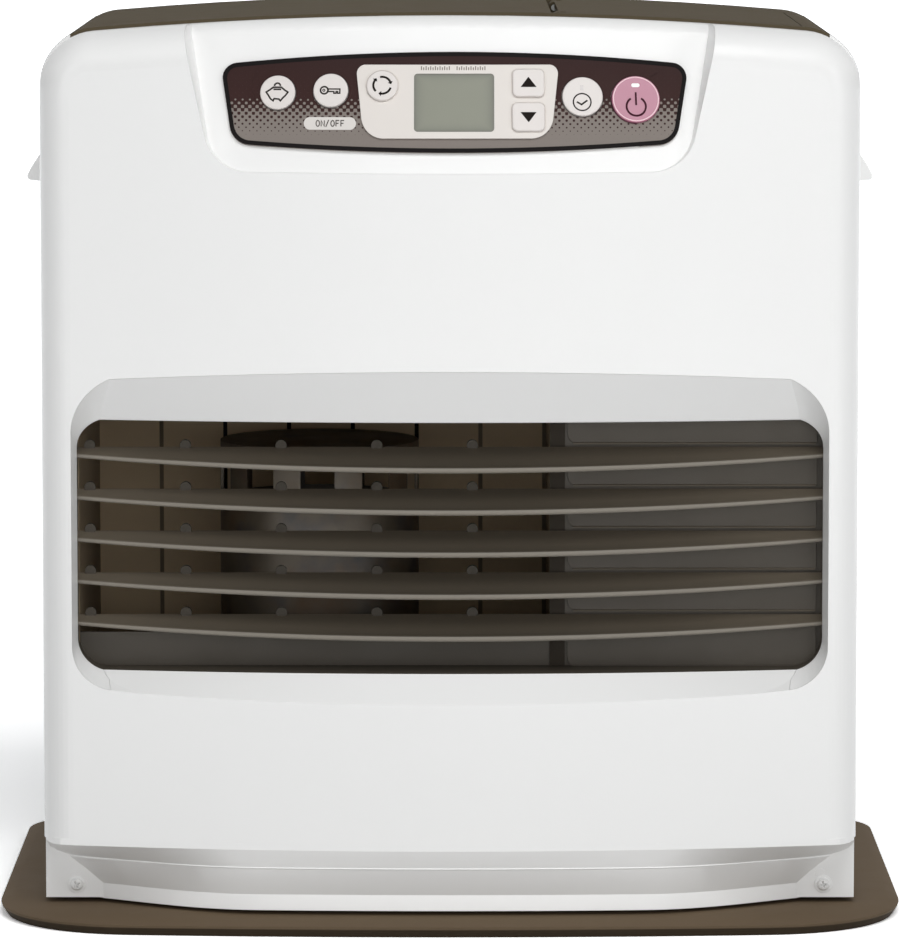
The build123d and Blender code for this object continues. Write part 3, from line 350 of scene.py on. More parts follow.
def make_floor():
    """A plain floor, which the camera sees white and which keeps the shadow."""
    mesh = bpy.data.meshes.new("floor")
    reach = FLOOR_REACH
    corners = [(-reach, -reach, 0), (reach, -reach, 0), (reach, reach, 0), (-reach, reach, 0)]
    mesh.from_pydata(corners, [], [(0, 1, 2, 3)])
    floor = link("floor", mesh)
    mat = bpy.data.materials.new("floor")
    graph = Graph(mat)
    graph.tree.nodes.clear()
    place = graph.add("ShaderNodeTexCoord").outputs["Object"]
    distance = graph.add("ShaderNodeVectorMath", {0: place}, operation="LENGTH").outputs["Value"]
    tint, near, far = ((level, level, level, 1) for level in (FLOOR_TINT, FLOOR_SEEN, FLOOR_FAR))
    seen = graph.blend(graph.spread(distance, *FLOOR_BLEND, 0, 1), near, far)
    matt = graph.add("ShaderNodeBsdfDiffuse", {"Color": graph.blend(graph.seen_directly(), tint, seen)})
    graph.add("ShaderNodeOutputMaterial", {"Surface": matt.outputs[0]})
    mesh.materials.append(mat)


# Materials

class Paint(Graph):
    """A part's material, kept under its name once it is finished."""

    def __init__(self, name):
        self.name = name
        self.mat = bpy.data.materials.new(name)
        super().__init__(self.mat)
        self.shader = self.tree.nodes["Principled BSDF"]
        self.place = self.add("ShaderNodeTexCoord").outputs["Object"]

    def axis(self, letter):
        """A point's place along one axis."""
        return self.add("ShaderNodeSeparateXYZ", {"Vector": self.place}).outputs[letter]

    def facing_up(self):
        """How far the surface faces up, from -1 to 1."""
        normal = self.add("ShaderNodeNewGeometry").outputs["Normal"]
        return self.add("ShaderNodeSeparateXYZ", {"Vector": normal}).outputs["Z"]

    def noise(self, scale, detail=3.0, roughness=0.5, stretch=None):
        place = self.place
        if stretch:
            place = self.add("ShaderNodeMapping", {"Vector": place, "Scale": stretch}).outputs[0]
        values = {"Vector": place, "Scale": scale, "Detail": detail, "Roughness": roughness}
        return self.add("ShaderNodeTexNoise", values).outputs[0]

    def uneven(self, noise, low, high):
        """A value that goes with a noise from low to high."""
        return self.spread(noise, 0.3, 0.7, low, high)

    def bump(self, height, distance, strength=1.0, normal=None):
        values = {"Height": height, "Distance": distance, "Strength": strength}
        if normal is not None:
            values["Normal"] = normal
        return self.add("ShaderNodeBump", values).outputs[0]

    def finish(self, tint, roughness, normal=None, **values):
        """The surface's values, and the material's place among the others."""
        values = {"Base_Color": tint, "Roughness": roughness, **values}
        if normal is not None:
            values["Normal"] = normal
        for key, value in values.items():
            self.set(self.shader, key.replace("_", " "), value)
        materials[self.name] = self.mat


def rgb(red, green, blue):
    """A colour given in display values from 0 to 255, as the linear colour that a shader takes."""
    channels = []
    for value in (red, green, blue):
        value = value / 255
        channels.append(value / 12.92 if value <= 0.04045 else ((value + 0.055) / 1.055) ** 2.4)
    return (*channels, 1.0)


def shade(colour, factor):
    """A lighter or darker colour."""
    return (*[min(1.0, channel * factor) for channel in colour[:3]], 1.0)


def moulded(name, colour, roughness, grain=0.00004, grain_scale=2600, soften=0.0, coat=0.0, specular=0.5,
            variation=0.02, painted_top_light=None, low=None):
    """A moulded plastic or a paint, with a fine grain, faint unevenness and softened edges.

    The tint for faces that point up is (from, to, tint): a painted highlight, lighter for faces whose normals
    point up so far. low is (height, tint): painted shade for what lies under a height.
    """
    paint = Paint(name)
    tint = paint.blend(paint.noise(9.0, 2.0), shade(colour, 1 - variation), shade(colour, 1 + variation))
    # Painted highlight: a lighter tint on faces that point up.
    if painted_top_light:
        tint = paint.blend(paint.spread(paint.facing_up(), *painted_top_light[:2], 0.0, 1.0), tint, painted_top_light[2])
    # Painted shade: a darker tint under the given height.
    if low:
        tint = paint.blend(paint.spread(paint.axis("Z"), low[0], low[0] - 0.0006, 0.0, 1.0), tint, low[1])
    gloss = paint.uneven(paint.noise(55.0, 5.0, 0.6), roughness - 0.03, roughness + 0.03)
    edge = paint.add("ShaderNodeBevel", {"Radius": soften}, samples=4).outputs[0] if soften else None
    normal = paint.bump(paint.noise(grain_scale, 2.0), grain, 1.0, edge)
    paint.finish(tint, gloss, normal, Coat_Weight=coat, Coat_Roughness=0.12, Specular_IOR_Level=specular)


def louvre_coat(name, nose, front, back):
    """The louvres' paint, with painted light: a painted highlight along the nose that faces forwards, and tops
    that go from darker at the front to lighter at the back, painted to lift the shade that the hood casts on
    them.
    """
    paint = Paint(name)
    # Painted light on the tops: darker at the front, lighter towards the back, where the hood shades them.
    depth = paint.spread(paint.axis("Y"), FACE_FRONT + 0.014, FIN_BACK * MM, 0.0, 1.0)
    top = paint.blend(depth, front, back)
    # Painted highlight: faces that don't point up, the noses, take the paler nose tint.
    tint = paint.blend(paint.spread(paint.facing_up(), 0.6, 0.9, 0.0, 1.0), nose, top)
    gloss = paint.uneven(paint.noise(55.0, 5.0, 0.6), 0.42, 0.5)
    paint.finish(tint, gloss, paint.bump(paint.noise(1500.0, 2.0), 0.00003), Specular_IOR_Level=0.3)


def bare_metal(name, colour, roughness):
    """A plated or drawn metal with a fine directional brushing."""
    paint = Paint(name)
    brush = paint.noise(240.0, 4.0, 0.6, stretch=(1, 1, 60))
    tint = paint.blend(paint.noise(30.0, 3.0), shade(colour, 0.9), shade(colour, 1.06))
    gloss = paint.uneven(brush, roughness - 0.06, roughness + 0.08)
    paint.finish(tint, gloss, paint.bump(brush, 0.00003), Metallic=1.0)


def heat_darkened(name, colour):
    """Steel that the flame has darkened, with straw and blue tones."""
    paint = Paint(name)
    cloud = paint.noise(26.0, 5.0, 0.65)
    straw = paint.blend(paint.spread(cloud, 0.45, 0.7, 0, 1), colour, rgb(96, 74, 52))
    tint = paint.blend(paint.spread(paint.noise(60.0, 4.0), 0.5, 0.72, 0, 0.6), straw, rgb(46, 50, 60))
    paint.finish(tint, paint.uneven(cloud, 0.42, 0.62), paint.bump(cloud, 0.00012), Metallic=0.2)


def halftone_film(name):
    """Printed film: dark at the top, breaking up through dots into warm grey lower down."""
    paint = Paint(name)
    dot_pitch = {"X": 3.3 * MM, "Z": 3.1 * MM}
    rows_start, rows_end = 0.3822, 0.3652
    warm_start, warm_end = 0.384, 0.402
    past_lattice = 1.02
    dot_edge = 0.05
    height = paint.axis("Z")
    waves = [paint.math("COSINE", paint.math("MULTIPLY", paint.axis(axis), 2 * pi / dot_pitch[axis]))
             for axis in ("X", "Z")]
    share = paint.math("POWER", paint.spread(height, rows_start, rows_end, 0.0, 1.0), 0.6)
    level = paint.spread(share, 0.0, 1.0, -past_lattice, past_lattice)
    margin = paint.math("SUBTRACT", paint.math("MULTIPLY", *waves), level)
    printed = paint.spread(margin, -dot_edge, dot_edge, 0.0, 1.0)
    dots = paint.blend(printed, rgb(137, 129, 123), rgb(56, 36, 34))
    warm = paint.blend(paint.spread(height, warm_start, warm_end, 0, 1), dots, rgb(50, 33, 32))
    tint = paint.blend(paint.math("GREATER_THAN", height, rows_start), dots, warm)
    gloss = paint.uneven(paint.noise(70.0, 4.0), 0.42, 0.5)
    paint.finish(tint, gloss, paint.bump(paint.noise(900.0, 2.0), 0.00001), Specular_IOR_Level=0.08)


def display_glass(name):
    """The grey-green face of a switched-off display, with painted shade darkening it towards its rim, where the
    recess shades it.
    """
    paint = Paint(name)
    low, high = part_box("display_window")
    rim_shades = []
    for axis, start, end in (("X", low.x, high.x), ("Z", low.z, high.z)):
        offset = paint.math("SUBTRACT", paint.axis(axis), (start + end) / 2)
        share = paint.math("ABSOLUTE", paint.math("DIVIDE", offset, (end - start) / 2))
        rim_shades.append(paint.math("POWER", share, 8.0))
    # Painted shade: the face darkens towards its rim.
    rim = paint.math("MULTIPLY", paint.math("MAXIMUM", *rim_shades), 0.75, True)
    tint = paint.blend(rim, rgb(132, 134, 119), rgb(92, 93, 86))
    gloss = paint.uneven(paint.noise(300.0, 2.0), 0.28, 0.34)
    paint.finish(tint, gloss, Coat_Weight=0.1, Coat_Roughness=0.1, Specular_IOR_Level=0.3)


def circuit_laminate(name):
    """A green board with faint tracks."""
    paint = Paint(name)
    colours = {"Color1": rgb(32, 84, 48), "Color2": rgb(38, 96, 56), "Mortar": rgb(26, 66, 40)}
    tracks = paint.add("ShaderNodeTexBrick", {"Vector": paint.place, **colours, "Scale": 240.0}).outputs[0]
    paint.finish(tracks, paint.uneven(paint.noise(80.0), 0.3, 0.4))


def fine_mesh(name, colour, pitch):
    """A woven mesh: threads over a darker ground."""
    paint = Paint(name)
    waves = []
    for axis in ("X", "Z"):
        turns = paint.math("MULTIPLY", paint.axis(axis), 2 * pi / pitch)
        waves.append(paint.math("ABSOLUTE", paint.math("SINE", turns)))
    open_part = paint.spread(paint.math("MINIMUM", *waves), 0.45, 0.7, 0.0, 1.0)
    tint = paint.blend(open_part, colour, shade(colour, 0.25))
    paint.finish(tint, 0.6, paint.bump(open_part, 0.0002, 0.6))


# Printed marks on the controls

def on_ramp(x, z, lift=0.0):
    """A point on the leaning floor of the control recess, or lifted off it."""
    depth = BOW_CENTRE - FACE_FRONT - RAMP_STEP - (z - RAMP_START) * tan(RAMP_TILT)
    turn = asin(x / depth)
    out = Vector((cos(RAMP_TILT) * sin(turn), -cos(RAMP_TILT) * cos(turn), sin(RAMP_TILT)))
    return Vector((x, BOW_CENTRE - depth * cos(turn), z)) + out * lift


def on_insert(u, v, lift):
    """A point in millimetres across and above RAMP_START, on the printed insert."""
    return on_ramp(u * MM, RAMP_START + v * MM, INSERT_THICKNESS + lift)


def on_plate(u, v, lift):
    """A point in millimetres across and above RAMP_START, on the centre plate."""
    return on_ramp(u * MM, RAMP_START + v * MM, INSERT_THICKNESS + PLATE_THICKNESS + lift)


def on_cap(node):
    """A way to place points, in millimetres from the middle of a button's cap, on that cap."""
    joint = next(entry for entry in record["behaviour"]["joints"] if entry["child"] == node)
    out = -Vector(joint["axis"]).normalized()
    right = Vector((0, 0, 1)).cross(out).normalized()
    up = out.cross(right)
    points = [nodes[node].matrix_world @ vertex.co for vertex in nodes[node].data.vertices]
    reach = max(point.dot(out) for point in points)
    cap = [point for point in points if point.dot(out) > reach - 0.0001]
    across = [point.dot(right) for point in cap]
    above = [point.dot(up) for point in cap]
    middle = right * (min(across) + max(across)) / 2 + up * (min(above) + max(above)) / 2 + out * reach

    def place(u, v, lift):
        return middle + right * u * MM + up * v * MM + out * lift
    return place


class Print:
    """Marks in one ink on one body: thin closed solids between two rows of flat points."""

    def __init__(self, name, material, body, place=None):
        self.name = name
        self.material = material
        self.body = body
        self.place = place or on_cap(body)
        self.mesh = bmesh.new()

    def band(self, near, far, closed=False):
        """A strip between two rows of points, as a thin solid."""
        rings = []
        for first, second in zip(near, far):
            corners = [(*first, -INK / 2), (*second, -INK / 2), (*second, INK), (*first, INK)]
            rings.append([self.mesh.verts.new(self.place(*corner)) for corner in corners])
        following = rings[1:] + rings[:1] if closed else rings[1:]
        for ring, after in zip(rings, following):
            for index in range(4):
                turn = (index + 1) % 4
                self.mesh.faces.new((ring[index], ring[turn], after[turn], after[index]))
        if not closed:
            self.mesh.faces.new(rings[0][::-1])
            self.mesh.faces.new(rings[-1])

    def line(self, points, width=LINE / MM, closed=False):
        """A line of even width along flat points, mitred at its corners."""
        near = []
        far = []
        places = [Vector(point) for point in points]
        ways = [(after - here).normalized() for here, after in zip(places, places[1:] + places[:1])]
        if not closed:
            ways[-1] = ways[-2]
        for index, here in enumerate(places):
            arriving = ways[index - 1] if closed or index else ways[0]
            along = (arriving + ways[index]).normalized()
            reach = width / 2 / max(0.5, along.dot(arriving))
            across = Vector((-along.y, along.x)) * reach
            near.append(tuple(here + across))
            far.append(tuple(here - across))
        self.band(near, far, closed)

    def arc(self, middle, radius, start, end, width=LINE / MM):
        """A round line between two angles in degrees, closed where it goes all the way round."""
        turns = max(6, int(abs(end - start) / 9))
        whole = abs(end - start) >= 360
        angles = [radians(start + (end - start) * index / turns) for index in range(turns + (not whole))]
        points = [(middle[0] + radius * cos(angle), middle[1] + radius * sin(angle)) for angle in angles]
        self.line(points, width, closed=whole)

    def pill(self, middle, width, height):
        """A filled shape with round ends, a disc where its width is its height."""
        radius = height / 2
        straight = (width - height) / 2
        low = []
        high = []
        for index in range(33):
            angle = pi - pi * index / 32
            along = cos(angle)
            rise = radius * sin(angle)
            u = middle[0] + radius * along + (straight if along > 0 else -straight)
            low.append((u, middle[1] - rise - 0.01))
            high.append((u, middle[1] + rise + 0.01))
        self.band(low, high)

    def finish(self):
        """The marks as one piece on their body."""
        bmesh.ops.recalc_face_normals(self.mesh, faces=self.mesh.faces)
        piece = link_mesh(self.name, self.mesh)
        piece.data.materials.append(materials[self.material])
        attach(piece, self.body)


def circling_arrows():
    """The strokes of three arrows that follow each other round."""
    radius = 4.0
    half_head = 1.2
    blunt = 0.12
    strokes = []
    for start in (104, 344, 224):
        strokes.append(("arc", (0, 0), radius, start, start - 92, 0.95))
        tip = radians(start - 96)
        root = radians(start - 80)
        wide = (radius - half_head, radius + half_head)
        inner, outer = ((reach * cos(root), reach * sin(root)) for reach in wide)
        head = (radius * cos(tip), radius * sin(tip))
        beside = (head[0] + blunt * cos(tip), head[1] + blunt * sin(tip))
        strokes.append(("band", [inner, head], [outer, beside]))
    return strokes


def button_marks():
    """A coin bank, a key, arrows, a clock and the sign for on and off, with their windows and a rim."""
    bank = [(-5.2, 0.0), (-3.8, 0.9), (-2.0, 2.3), (1.7, 2.3), (3.3, 0.9), (4.7, 0.0), (3.6, -1.6),
            (2.5, -2.7), (1.4, -4.1), (0.7, -3.3), (-1.5, -3.1), (-1.9, -4.1), (-3.1, -3.2), (-4.1, -1.6)]
    bit = [(-1.3, 0.5), (4.2, 0.5), (4.2, -1.5), (3.2, -1.5), (3.2, -0.7), (2.5, -0.7), (2.5, -1.5),
           (1.5, -1.5), (1.5, -0.7), (-1.3, -0.7)]
    marks = {
        ("save_mark", "ink_grey", "save_button"): [
            ("line", bank, LINE / MM, True), ("line", [(-1.9, 1.3), (1.6, 1.3)]),
            ("arc", (-0.15, 2.9), 1.35, 0, 180)],
        ("lock_mark", "ink_grey", "lock_button"): [
            ("arc", (-2.9, -0.1), 1.7, 0, 360), ("arc", (-3.1, -0.1), 0.5, 0, 360, 0.4), ("line", bit, 0.6)],
        ("recirculate_mark", "ink_dark", "recirculate_button"): circling_arrows(),
        ("up_button_mark", "ink_dark", "up_button"): [
            ("band", [(-3.6, -2.1), (3.6, -2.1)], [(-0.1, 2.6), (0.1, 2.6)])],
        ("down_button_mark", "ink_dark", "down_button"): [
            ("band", [(-3.6, 2.1), (3.6, 2.1)], [(-0.1, -2.6), (0.1, -2.6)])],
        ("timer_mark", "ink_dark", "timer_button"): [
            ("arc", (-0.3, -2.7), 4.0, 0, 360, 0.6), ("line", [(-2.7, -2.6), (-0.6, -3.9), (2.1, -1.9)])],
        ("timer_window", "window_pale", "timer_button"): [("line", [(-0.3, 2.9), (-0.3, 5.3)], 1.5)],
        ("power_mark", "ink_plum", "power_button"): [
            ("line", [(0, 3.2), (0, -2.9)], 0.85), ("arc", (0, -3.5), 4.4, 122, 418, 0.9)],
        ("power_window", "window_lit", "power_button"): [("pill", (0, 6.5), 3.8, 1.8)],
        ("power_rim", "rim_pink", "power_button"): [("arc", (0, 0), 10.3, 0, 360, 0.5)],
    }
    for owner, strokes in marks.items():
        ink = Print(*owner)
        for kind, *values in strokes:
            getattr(ink, kind)(*values)
        ink.finish()


def rounded(corners):
    """A closed row of points through corners of (u, v, radius), with arcs where the radius isn't nought."""
    points = []
    count = len(corners)
    for index, (u, v, radius) in enumerate(corners):
        here = Vector((u, v))
        if not radius:
            points.append((u, v))
            continue
        back = (Vector(corners[index - 1][:2]) - here).normalized()
        on = (Vector(corners[(index + 1) % count][:2]) - here).normalized()
        half = back.angle(on) / 2
        middle = here + (back + on).normalized() * radius / sin(half)
        start = here + back * radius / tan(half) - middle
        turn = start.angle_signed(here + on * radius / tan(half) - middle)
        for step in range(9):
            angle = -turn * step / 8
            points.append((middle.x + start.x * cos(angle) - start.y * sin(angle),
                           middle.y + start.x * sin(angle) + start.y * cos(angle)))
    return points


def insert_outline(inset):
    """The insert's outline: two bulging edges between rounded corners."""
    corners = []
    for (left, right, level, bulge, radius), side in ((INSERT_HIGH, 1), (INSERT_LOW, -1)):
        middle = (left + right) / 2
        half = (right - left) / 2 - inset
        level -= side * inset
        for index in range(-12, 13):
            share = index / 12
            v = level + side * bulge * (1 - share ** 2)
            corners.append((middle + share * half * side, v, radius - inset if abs(index) == 12 else 0))
    return rounded(corners)


def insert_marks():
    """The black edge of the insert, the white label under the key and the ticks over the display."""
    edge = Print("insert_edge", "edge_black", "root", on_insert)
    edge.line(insert_outline(BORDER / MM / 2), BORDER / MM, closed=True)
    edge.finish()
    label = Print("insert_label", "label_white", "root", on_insert)
    label.pill(PILL, *PILL_SIZE)
    label.finish()
    words = Print("insert_words", "ink_words", "root", lambda u, v, lift: on_insert(u, v, lift + INK))
    write_words(words, WORDS, WORDS_HEIGHT)
    words.finish()
    ticks = Print("display_ticks", "ink_faint", "root", on_plate)
    for start in TICK_STARTS:
        for index in range(TICK_COUNT):
            u = start + TICK_PITCH * index
            ticks.line([(u, TICK_LOW), (u, TICK_HIGH - 0.5 * (index % 2))], 0.4)
    ticks.finish()


def write_words(ink, start, height):
    """ON / OFF in plain upright capitals; each letter is its strokes on a square of one."""
    angles = [pi * index / 8 for index in range(16)]
    round_letter = [(0.32 + 0.3 * cos(angle), 0.5 + 0.5 * sin(angle)) for angle in angles]
    letters = {
        "O": [round_letter + round_letter[:1]],
        "N": [[(0.05, 0), (0.05, 1), (0.6, 0), (0.6, 1)]],
        "F": [[(0.05, 0), (0.05, 1), (0.6, 1)], [(0.05, 0.52), (0.5, 0.52)]],
        "/": [[(0.0, -0.1), (0.5, 1.1)]],
    }
    across = start[0]
    for letter in "ON/OFF":
        for strokes in letters[letter]:
            ink.line([(across + u * height, start[1] + v * height) for u, v in strokes], 0.42)
        across += height * 0.86


# Outer pieces that are shaped more closely than their solids

def bow(x):
    """Depth of the bowed face at x, in millimetres."""
    return (BOW_CENTRE - sqrt(BOW_RADIUS ** 2 - (x * MM) ** 2)) / MM


def add_loft(mesh, rings, capped=True):
    """Faces between closed rows of points in millimetres, and over the ends if they are capped."""
    rows = [[mesh.verts.new(Vector(point) * MM) for point in ring] for ring in rings]
    count = len(rows[0])
    for row, after in zip(rows, rows[1:]):
        for index in range(count):
            turn = (index + 1) % count
            mesh.faces.new((row[index], row[turn], after[turn], after[index]))
    if capped:
        mesh.faces.new(rows[0][::-1])
        mesh.faces.new(rows[-1])


def as_piece(name, mesh, material, *replaced, body="root", smooth_angle=30):
    """A mesh as a shaded piece that rides on a body and stands for the named nodes."""
    bmesh.ops.recalc_face_normals(mesh, faces=mesh.faces)
    piece = link_mesh(name, mesh)
    piece.data.shade_smooth()
    piece.data.set_sharp_from_angle(angle=radians(smooth_angle))
    piece.data.materials.append(materials[material])
    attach(piece, body)
    if replaced:
        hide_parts(*replaced)


def lofted(name, material, lofts, *replaced, capped=True, smooth_angle=30):
    """One piece from lofts, each of which is a list of rings."""
    mesh = bmesh.new()
    for rings in lofts:
        add_loft(mesh, rings, capped)
    as_piece(name, mesh, material, *replaced, smooth_angle=smooth_angle)


def opening_points(grow):
    """Points round the outlet's opening, with (x, z) in millimetres."""
    half = OPENING_HALF + grow
    low = OPENING_LOW - grow
    high = OPENING_HIGH + grow
    corners = []
    for reach, level, corner in ((-half, high, OPENING_CORNER_HIGH), (half, low, OPENING_CORNER_LOW)):
        for index in range(-10, 11):
            corners.append((reach * index / 10, level, corner + grow if abs(index) == 10 else 0))
    return rounded(corners)


def outlet_ring():
    """The rings of the frame round the opening, cut to the bowed face."""
    rings = []
    for grow, front in ((0, True), (RING_WIDTH, True), (RING_WIDTH, False), (0, False), (0, True)):
        points = opening_points(grow)
        rings.append([(x, bow(x) + HOOD_DEPTH + RING_SETBACK if front else RING_BACK, z) for x, z in points])
    return rings


def louvre(top):
    """The rings of a louvre: a rounded nose along the bow, and a blade that rises to its back edge."""
    lean = Vector((0, -cos(FIN_TILT), -sin(FIN_TILT)))
    above = Vector((0, -sin(FIN_TILT), cos(FIN_TILT)))
    rings = []
    for step in range(-FIN_STEPS, FIN_STEPS + 1):
        x = (OPENING_HALF + 1) * step / FIN_STEPS
        back = Vector((x, FIN_BACK, top))
        length = (FIN_BACK - bow(x) - HOOD_DEPTH - FIN_SETBACK) / cos(FIN_TILT)
        radius = NOSE_RADIUS - NOSE_TAPER * (step / FIN_STEPS) ** 2
        blade_end = back + lean * (length - NOSE_LENGTH * radius)
        middle = back + lean * (length - radius) - above * FIN_THICKNESS / 2
        ring = [back, blade_end]
        for turn in range(9):
            angle = radians(NOSE_HALF_ANGLE - 2 * NOSE_HALF_ANGLE * turn / 8)
            ring.append(middle + lean * radius * cos(angle) + above * radius * sin(angle))
        ring.append(blade_end - above * FIN_THICKNESS)
        ring.append(back - above * FIN_THICKNESS)
        rings.append(ring)
    return rings


def upright(outline, front, back):
    """The rings of a slab between two depths, with an outline of (x, z)."""
    return [[(x, y, z) for x, z in outline] for y in (front, back)]


def box_outline(left, right, low, high):
    """The outline of an upright rectangle."""
    return [(left, low), (right, low), (right, high), (left, high)]


def disc(place, radius, back):
    """The rings of a short round boss that faces forwards, from place back to another depth."""
    angles = [2 * pi * step / DISC_STEPS for step in range(DISC_STEPS)]
    outline = [(place[0] + radius * cos(angle), place[2] + radius * sin(angle)) for angle in angles]
    return upright(outline, place[1], back)


def outlet_grille():
    """The outlet's frame, its louvres and the small round tabs behind them."""
    rings = outlet_ring()
    tops = [FIN_TOP - FIN_PITCH * index for index in range(FIN_COUNT)]
    tabs = [disc((x, TAB_FRONT, top + TAB_LIFT), TAB_RADIUS, TAB_BACK) for top in tops for x in TAB_PLACES]
    lofted("outlet_frame", "grille_steel", [rings[:4], rings[3:]], "louvre_grille", capped=False)
    lofted("outlet_louvres", "louvre_paint", [louvre(top) for top in tops], "louvre_grille")
    lofted("outlet_tabs", "tab_paint", tabs)


def closed_part():
    """The plate behind the outlet's right part, with a raised pad and its lip between each two louvres."""
    left = CLOSED_FROM + PAD_LEFT
    right = OPENING_HALF - PAD_RIGHT
    front = RING_BACK - PAD_RISE
    plates = [full_plate(CLOSED_FROM, OPENING_HALF + PLATE_OVERLAP, RING_BACK, RING_BACK + PLATE_GAUGE)]
    lips = []
    for index in range(FIN_COUNT + 1):
        low = FIN_TOP - FIN_PITCH * index + PAD_OVER_FIN
        high = low + FIN_PITCH - FIN_THICKNESS - PAD_UNDER_FIN
        if index == 0:
            high = OPENING_HIGH - 0.4
        if index == FIN_COUNT:
            low = OPENING_LOW - 1
        pad = rounded([(left, high, 0), (left, low, PAD_CORNER), (right, low, 0), (right, high, 0)])
        plates.append(upright(pad, RING_BACK + 0.5, front))
        if index < FIN_COUNT:
            top = low + LIP_HEIGHT
            lip = [(front + LIP_ROOT, top), (front - LIP_RISE * 0.5, top),
                   (front - LIP_RISE, low + LIP_HEIGHT * 0.6), (front - LIP_RISE, low), (front + LIP_ROOT, low)]
            lips.append([[(x, y, z) for y, z in lip] for x in (left + PAD_CORNER * 0.5, right - 0.6)])
    lofted("outlet_closed_part", "grille_steel", plates, "grille_backplate")
    # The lips are real, and drawn paler than the plate as a painted highlight.
    lofted("outlet_pad_lips", "lip_highlight_paint", lips)
    strip = full_plate(GAP_FROM, CLOSED_FROM + 0.4, RING_BACK - 0.2, RING_BACK + 0.8)
    lofted("outlet_dark_strip", "shadow_paint", [strip])
    wall = box_outline(0.5 - OPENING_HALF, GAP_FROM, OPENING_LOW - DECK_DROP, DECK_TOP)
    lofted("outlet_deck", "grille_steel", [upright(wall, RING_BACK + 0.5, RING_BACK + 1.5)])


def heat_baffle():
    """Upright strips between the burner and the fan, at the back of the warm-air duct."""
    pitch = BAFFLE_SPAN / BAFFLE_COUNT
    strips = []
    for index in range(BAFFLE_COUNT):
        left = BAFFLE_LEFT + index * pitch
        outline = box_outline(left, left + pitch - BAFFLE_GAP, BAFFLE_LOW, BAFFLE_HIGH)
        strips.append(upright(outline, BAFFLE_FRONT, BAFFLE_FRONT + BAFFLE_GAUGE))
    lofted("heat_baffle", "baffle_steel", strips)


def full_plate(left, right, front, back):
    """The rings of an upright plate across the height of the outlet."""
    outline = box_outline(left, right, OPENING_LOW - PLATE_OVERLAP, OPENING_HIGH + PLATE_OVERLAP)
    return upright(outline, front, back)


def curve(start, first, second, end):
    """Points along a cubic curve that two points between its ends draw out."""
    points = []
    for step in range(CURVE_STEPS + 1):
        share = step / CURVE_STEPS
        rest = 1 - share
        points.append(tuple(start * rest ** 3 + first * 3 * share * rest ** 2
                            + second * 3 * share ** 2 * rest + end * share ** 3))
    return points


def cut_copy(node, place, normal, **cleared):
    """A node's mesh on one side of a plane through place."""
    mesh = bmesh.new()
    mesh.from_mesh(nodes[node].data)
    bmesh.ops.bisect_plane(mesh, geom=mesh.verts[:] + mesh.edges[:] + mesh.faces[:], dist=1e-6,
                           plane_co=place, plane_no=normal, **cleared)
    return mesh


def chin_ring(height, setback, elbow_x, elbow_y, side_rear, roundness):
    """Front outline of the chin at one height: nearly flat, then curving back to an elbow on each side."""
    points = [(0.0, FACE_FRONT / MM + setback)]
    reach = CHIN_FLAT_SHARE * HALF_BODY / MM
    flattened = (CHIN_FLATTENING * setback / CHIN_DEPTH) * (bow(reach) - bow(0))
    start = Vector((reach, bow(reach) + setback - flattened))
    rise = start.y - points[0][1]
    for step in range(1, CHIN_FLAT_STEPS):
        share = step / CHIN_FLAT_STEPS
        points.append((reach * step / CHIN_FLAT_STEPS, points[0][1] + rise * share ** 2))
    elbow = Vector((elbow_x, elbow_y))
    span = elbow.x - start.x
    first = start + Vector((1, 2 * rise / reach)) * span * CHIN_PULLS[0]
    second = elbow - Vector((1, (elbow.y - start.y) / span * CHIN_ELBOW_SLOPE)) * span * CHIN_PULLS[1]
    points += curve(start, first, second, elbow)
    half = HALF_BODY / MM - 0.05
    side = Vector((half, side_rear))
    turn = (elbow + side) / 2 * (1 - roundness) + Vector((half, elbow.y)) * roundness
    for step in range(1, 7):
        share = step / 6
        points.append(tuple(elbow * (1 - share) ** 2 + turn * 2 * share * (1 - share) + side * share ** 2))
    points.append((half, CHIN_REAR))
    left = [(-x, y) for x, y in points[:0:-1]]
    return [(x, y, height) for x, y in left + points]


def front_moulding():
    """The front panel with its chin drawn more closely: two facets over an upright strip."""
    mesh = cut_copy("front_panel", (0, 0, CHIN_TOP * MM + 1e-5), (0, 0, 1), clear_inner=True)
    # Each level's elbow across and in depth, where its side ends, and how round it turns
    high = (176.0, bow(176.0), FLANGE_FRONT - 1.5, 0.85)
    crease = (168.5, FLANGE_FRONT - 6, FLANGE_FRONT + 9.8, 0.1)
    low = (161.0, FLANGE_FRONT, FLANGE_FRONT + 25, 0.0)
    inset = CREASE_SHARE * CHIN_DEPTH
    levels = [(CHIN_TOP + 1.2, 0.06, high), (CHIN_SHOULDER, 0.0, high),
              (CHIN_CREASE + CREASE_HALF, inset - 0.1, crease), (CHIN_CREASE, inset - 0.4, crease),
              (CHIN_CREASE - CREASE_HALF, inset + 0.2, crease), (STRIP_TOP, CHIN_DEPTH, low),
              (BODY_BOTTOM, CHIN_DEPTH - STRIP_LEAN, low)]
    chin = [chin_ring(height, setback, *elbow) for height, setback, elbow in levels]
    as_piece("front_moulding", mesh, "white_moulding", "front_panel")
    lofted("front_chin", "white_moulding", [chin], "front_panel", smooth_angle=18)


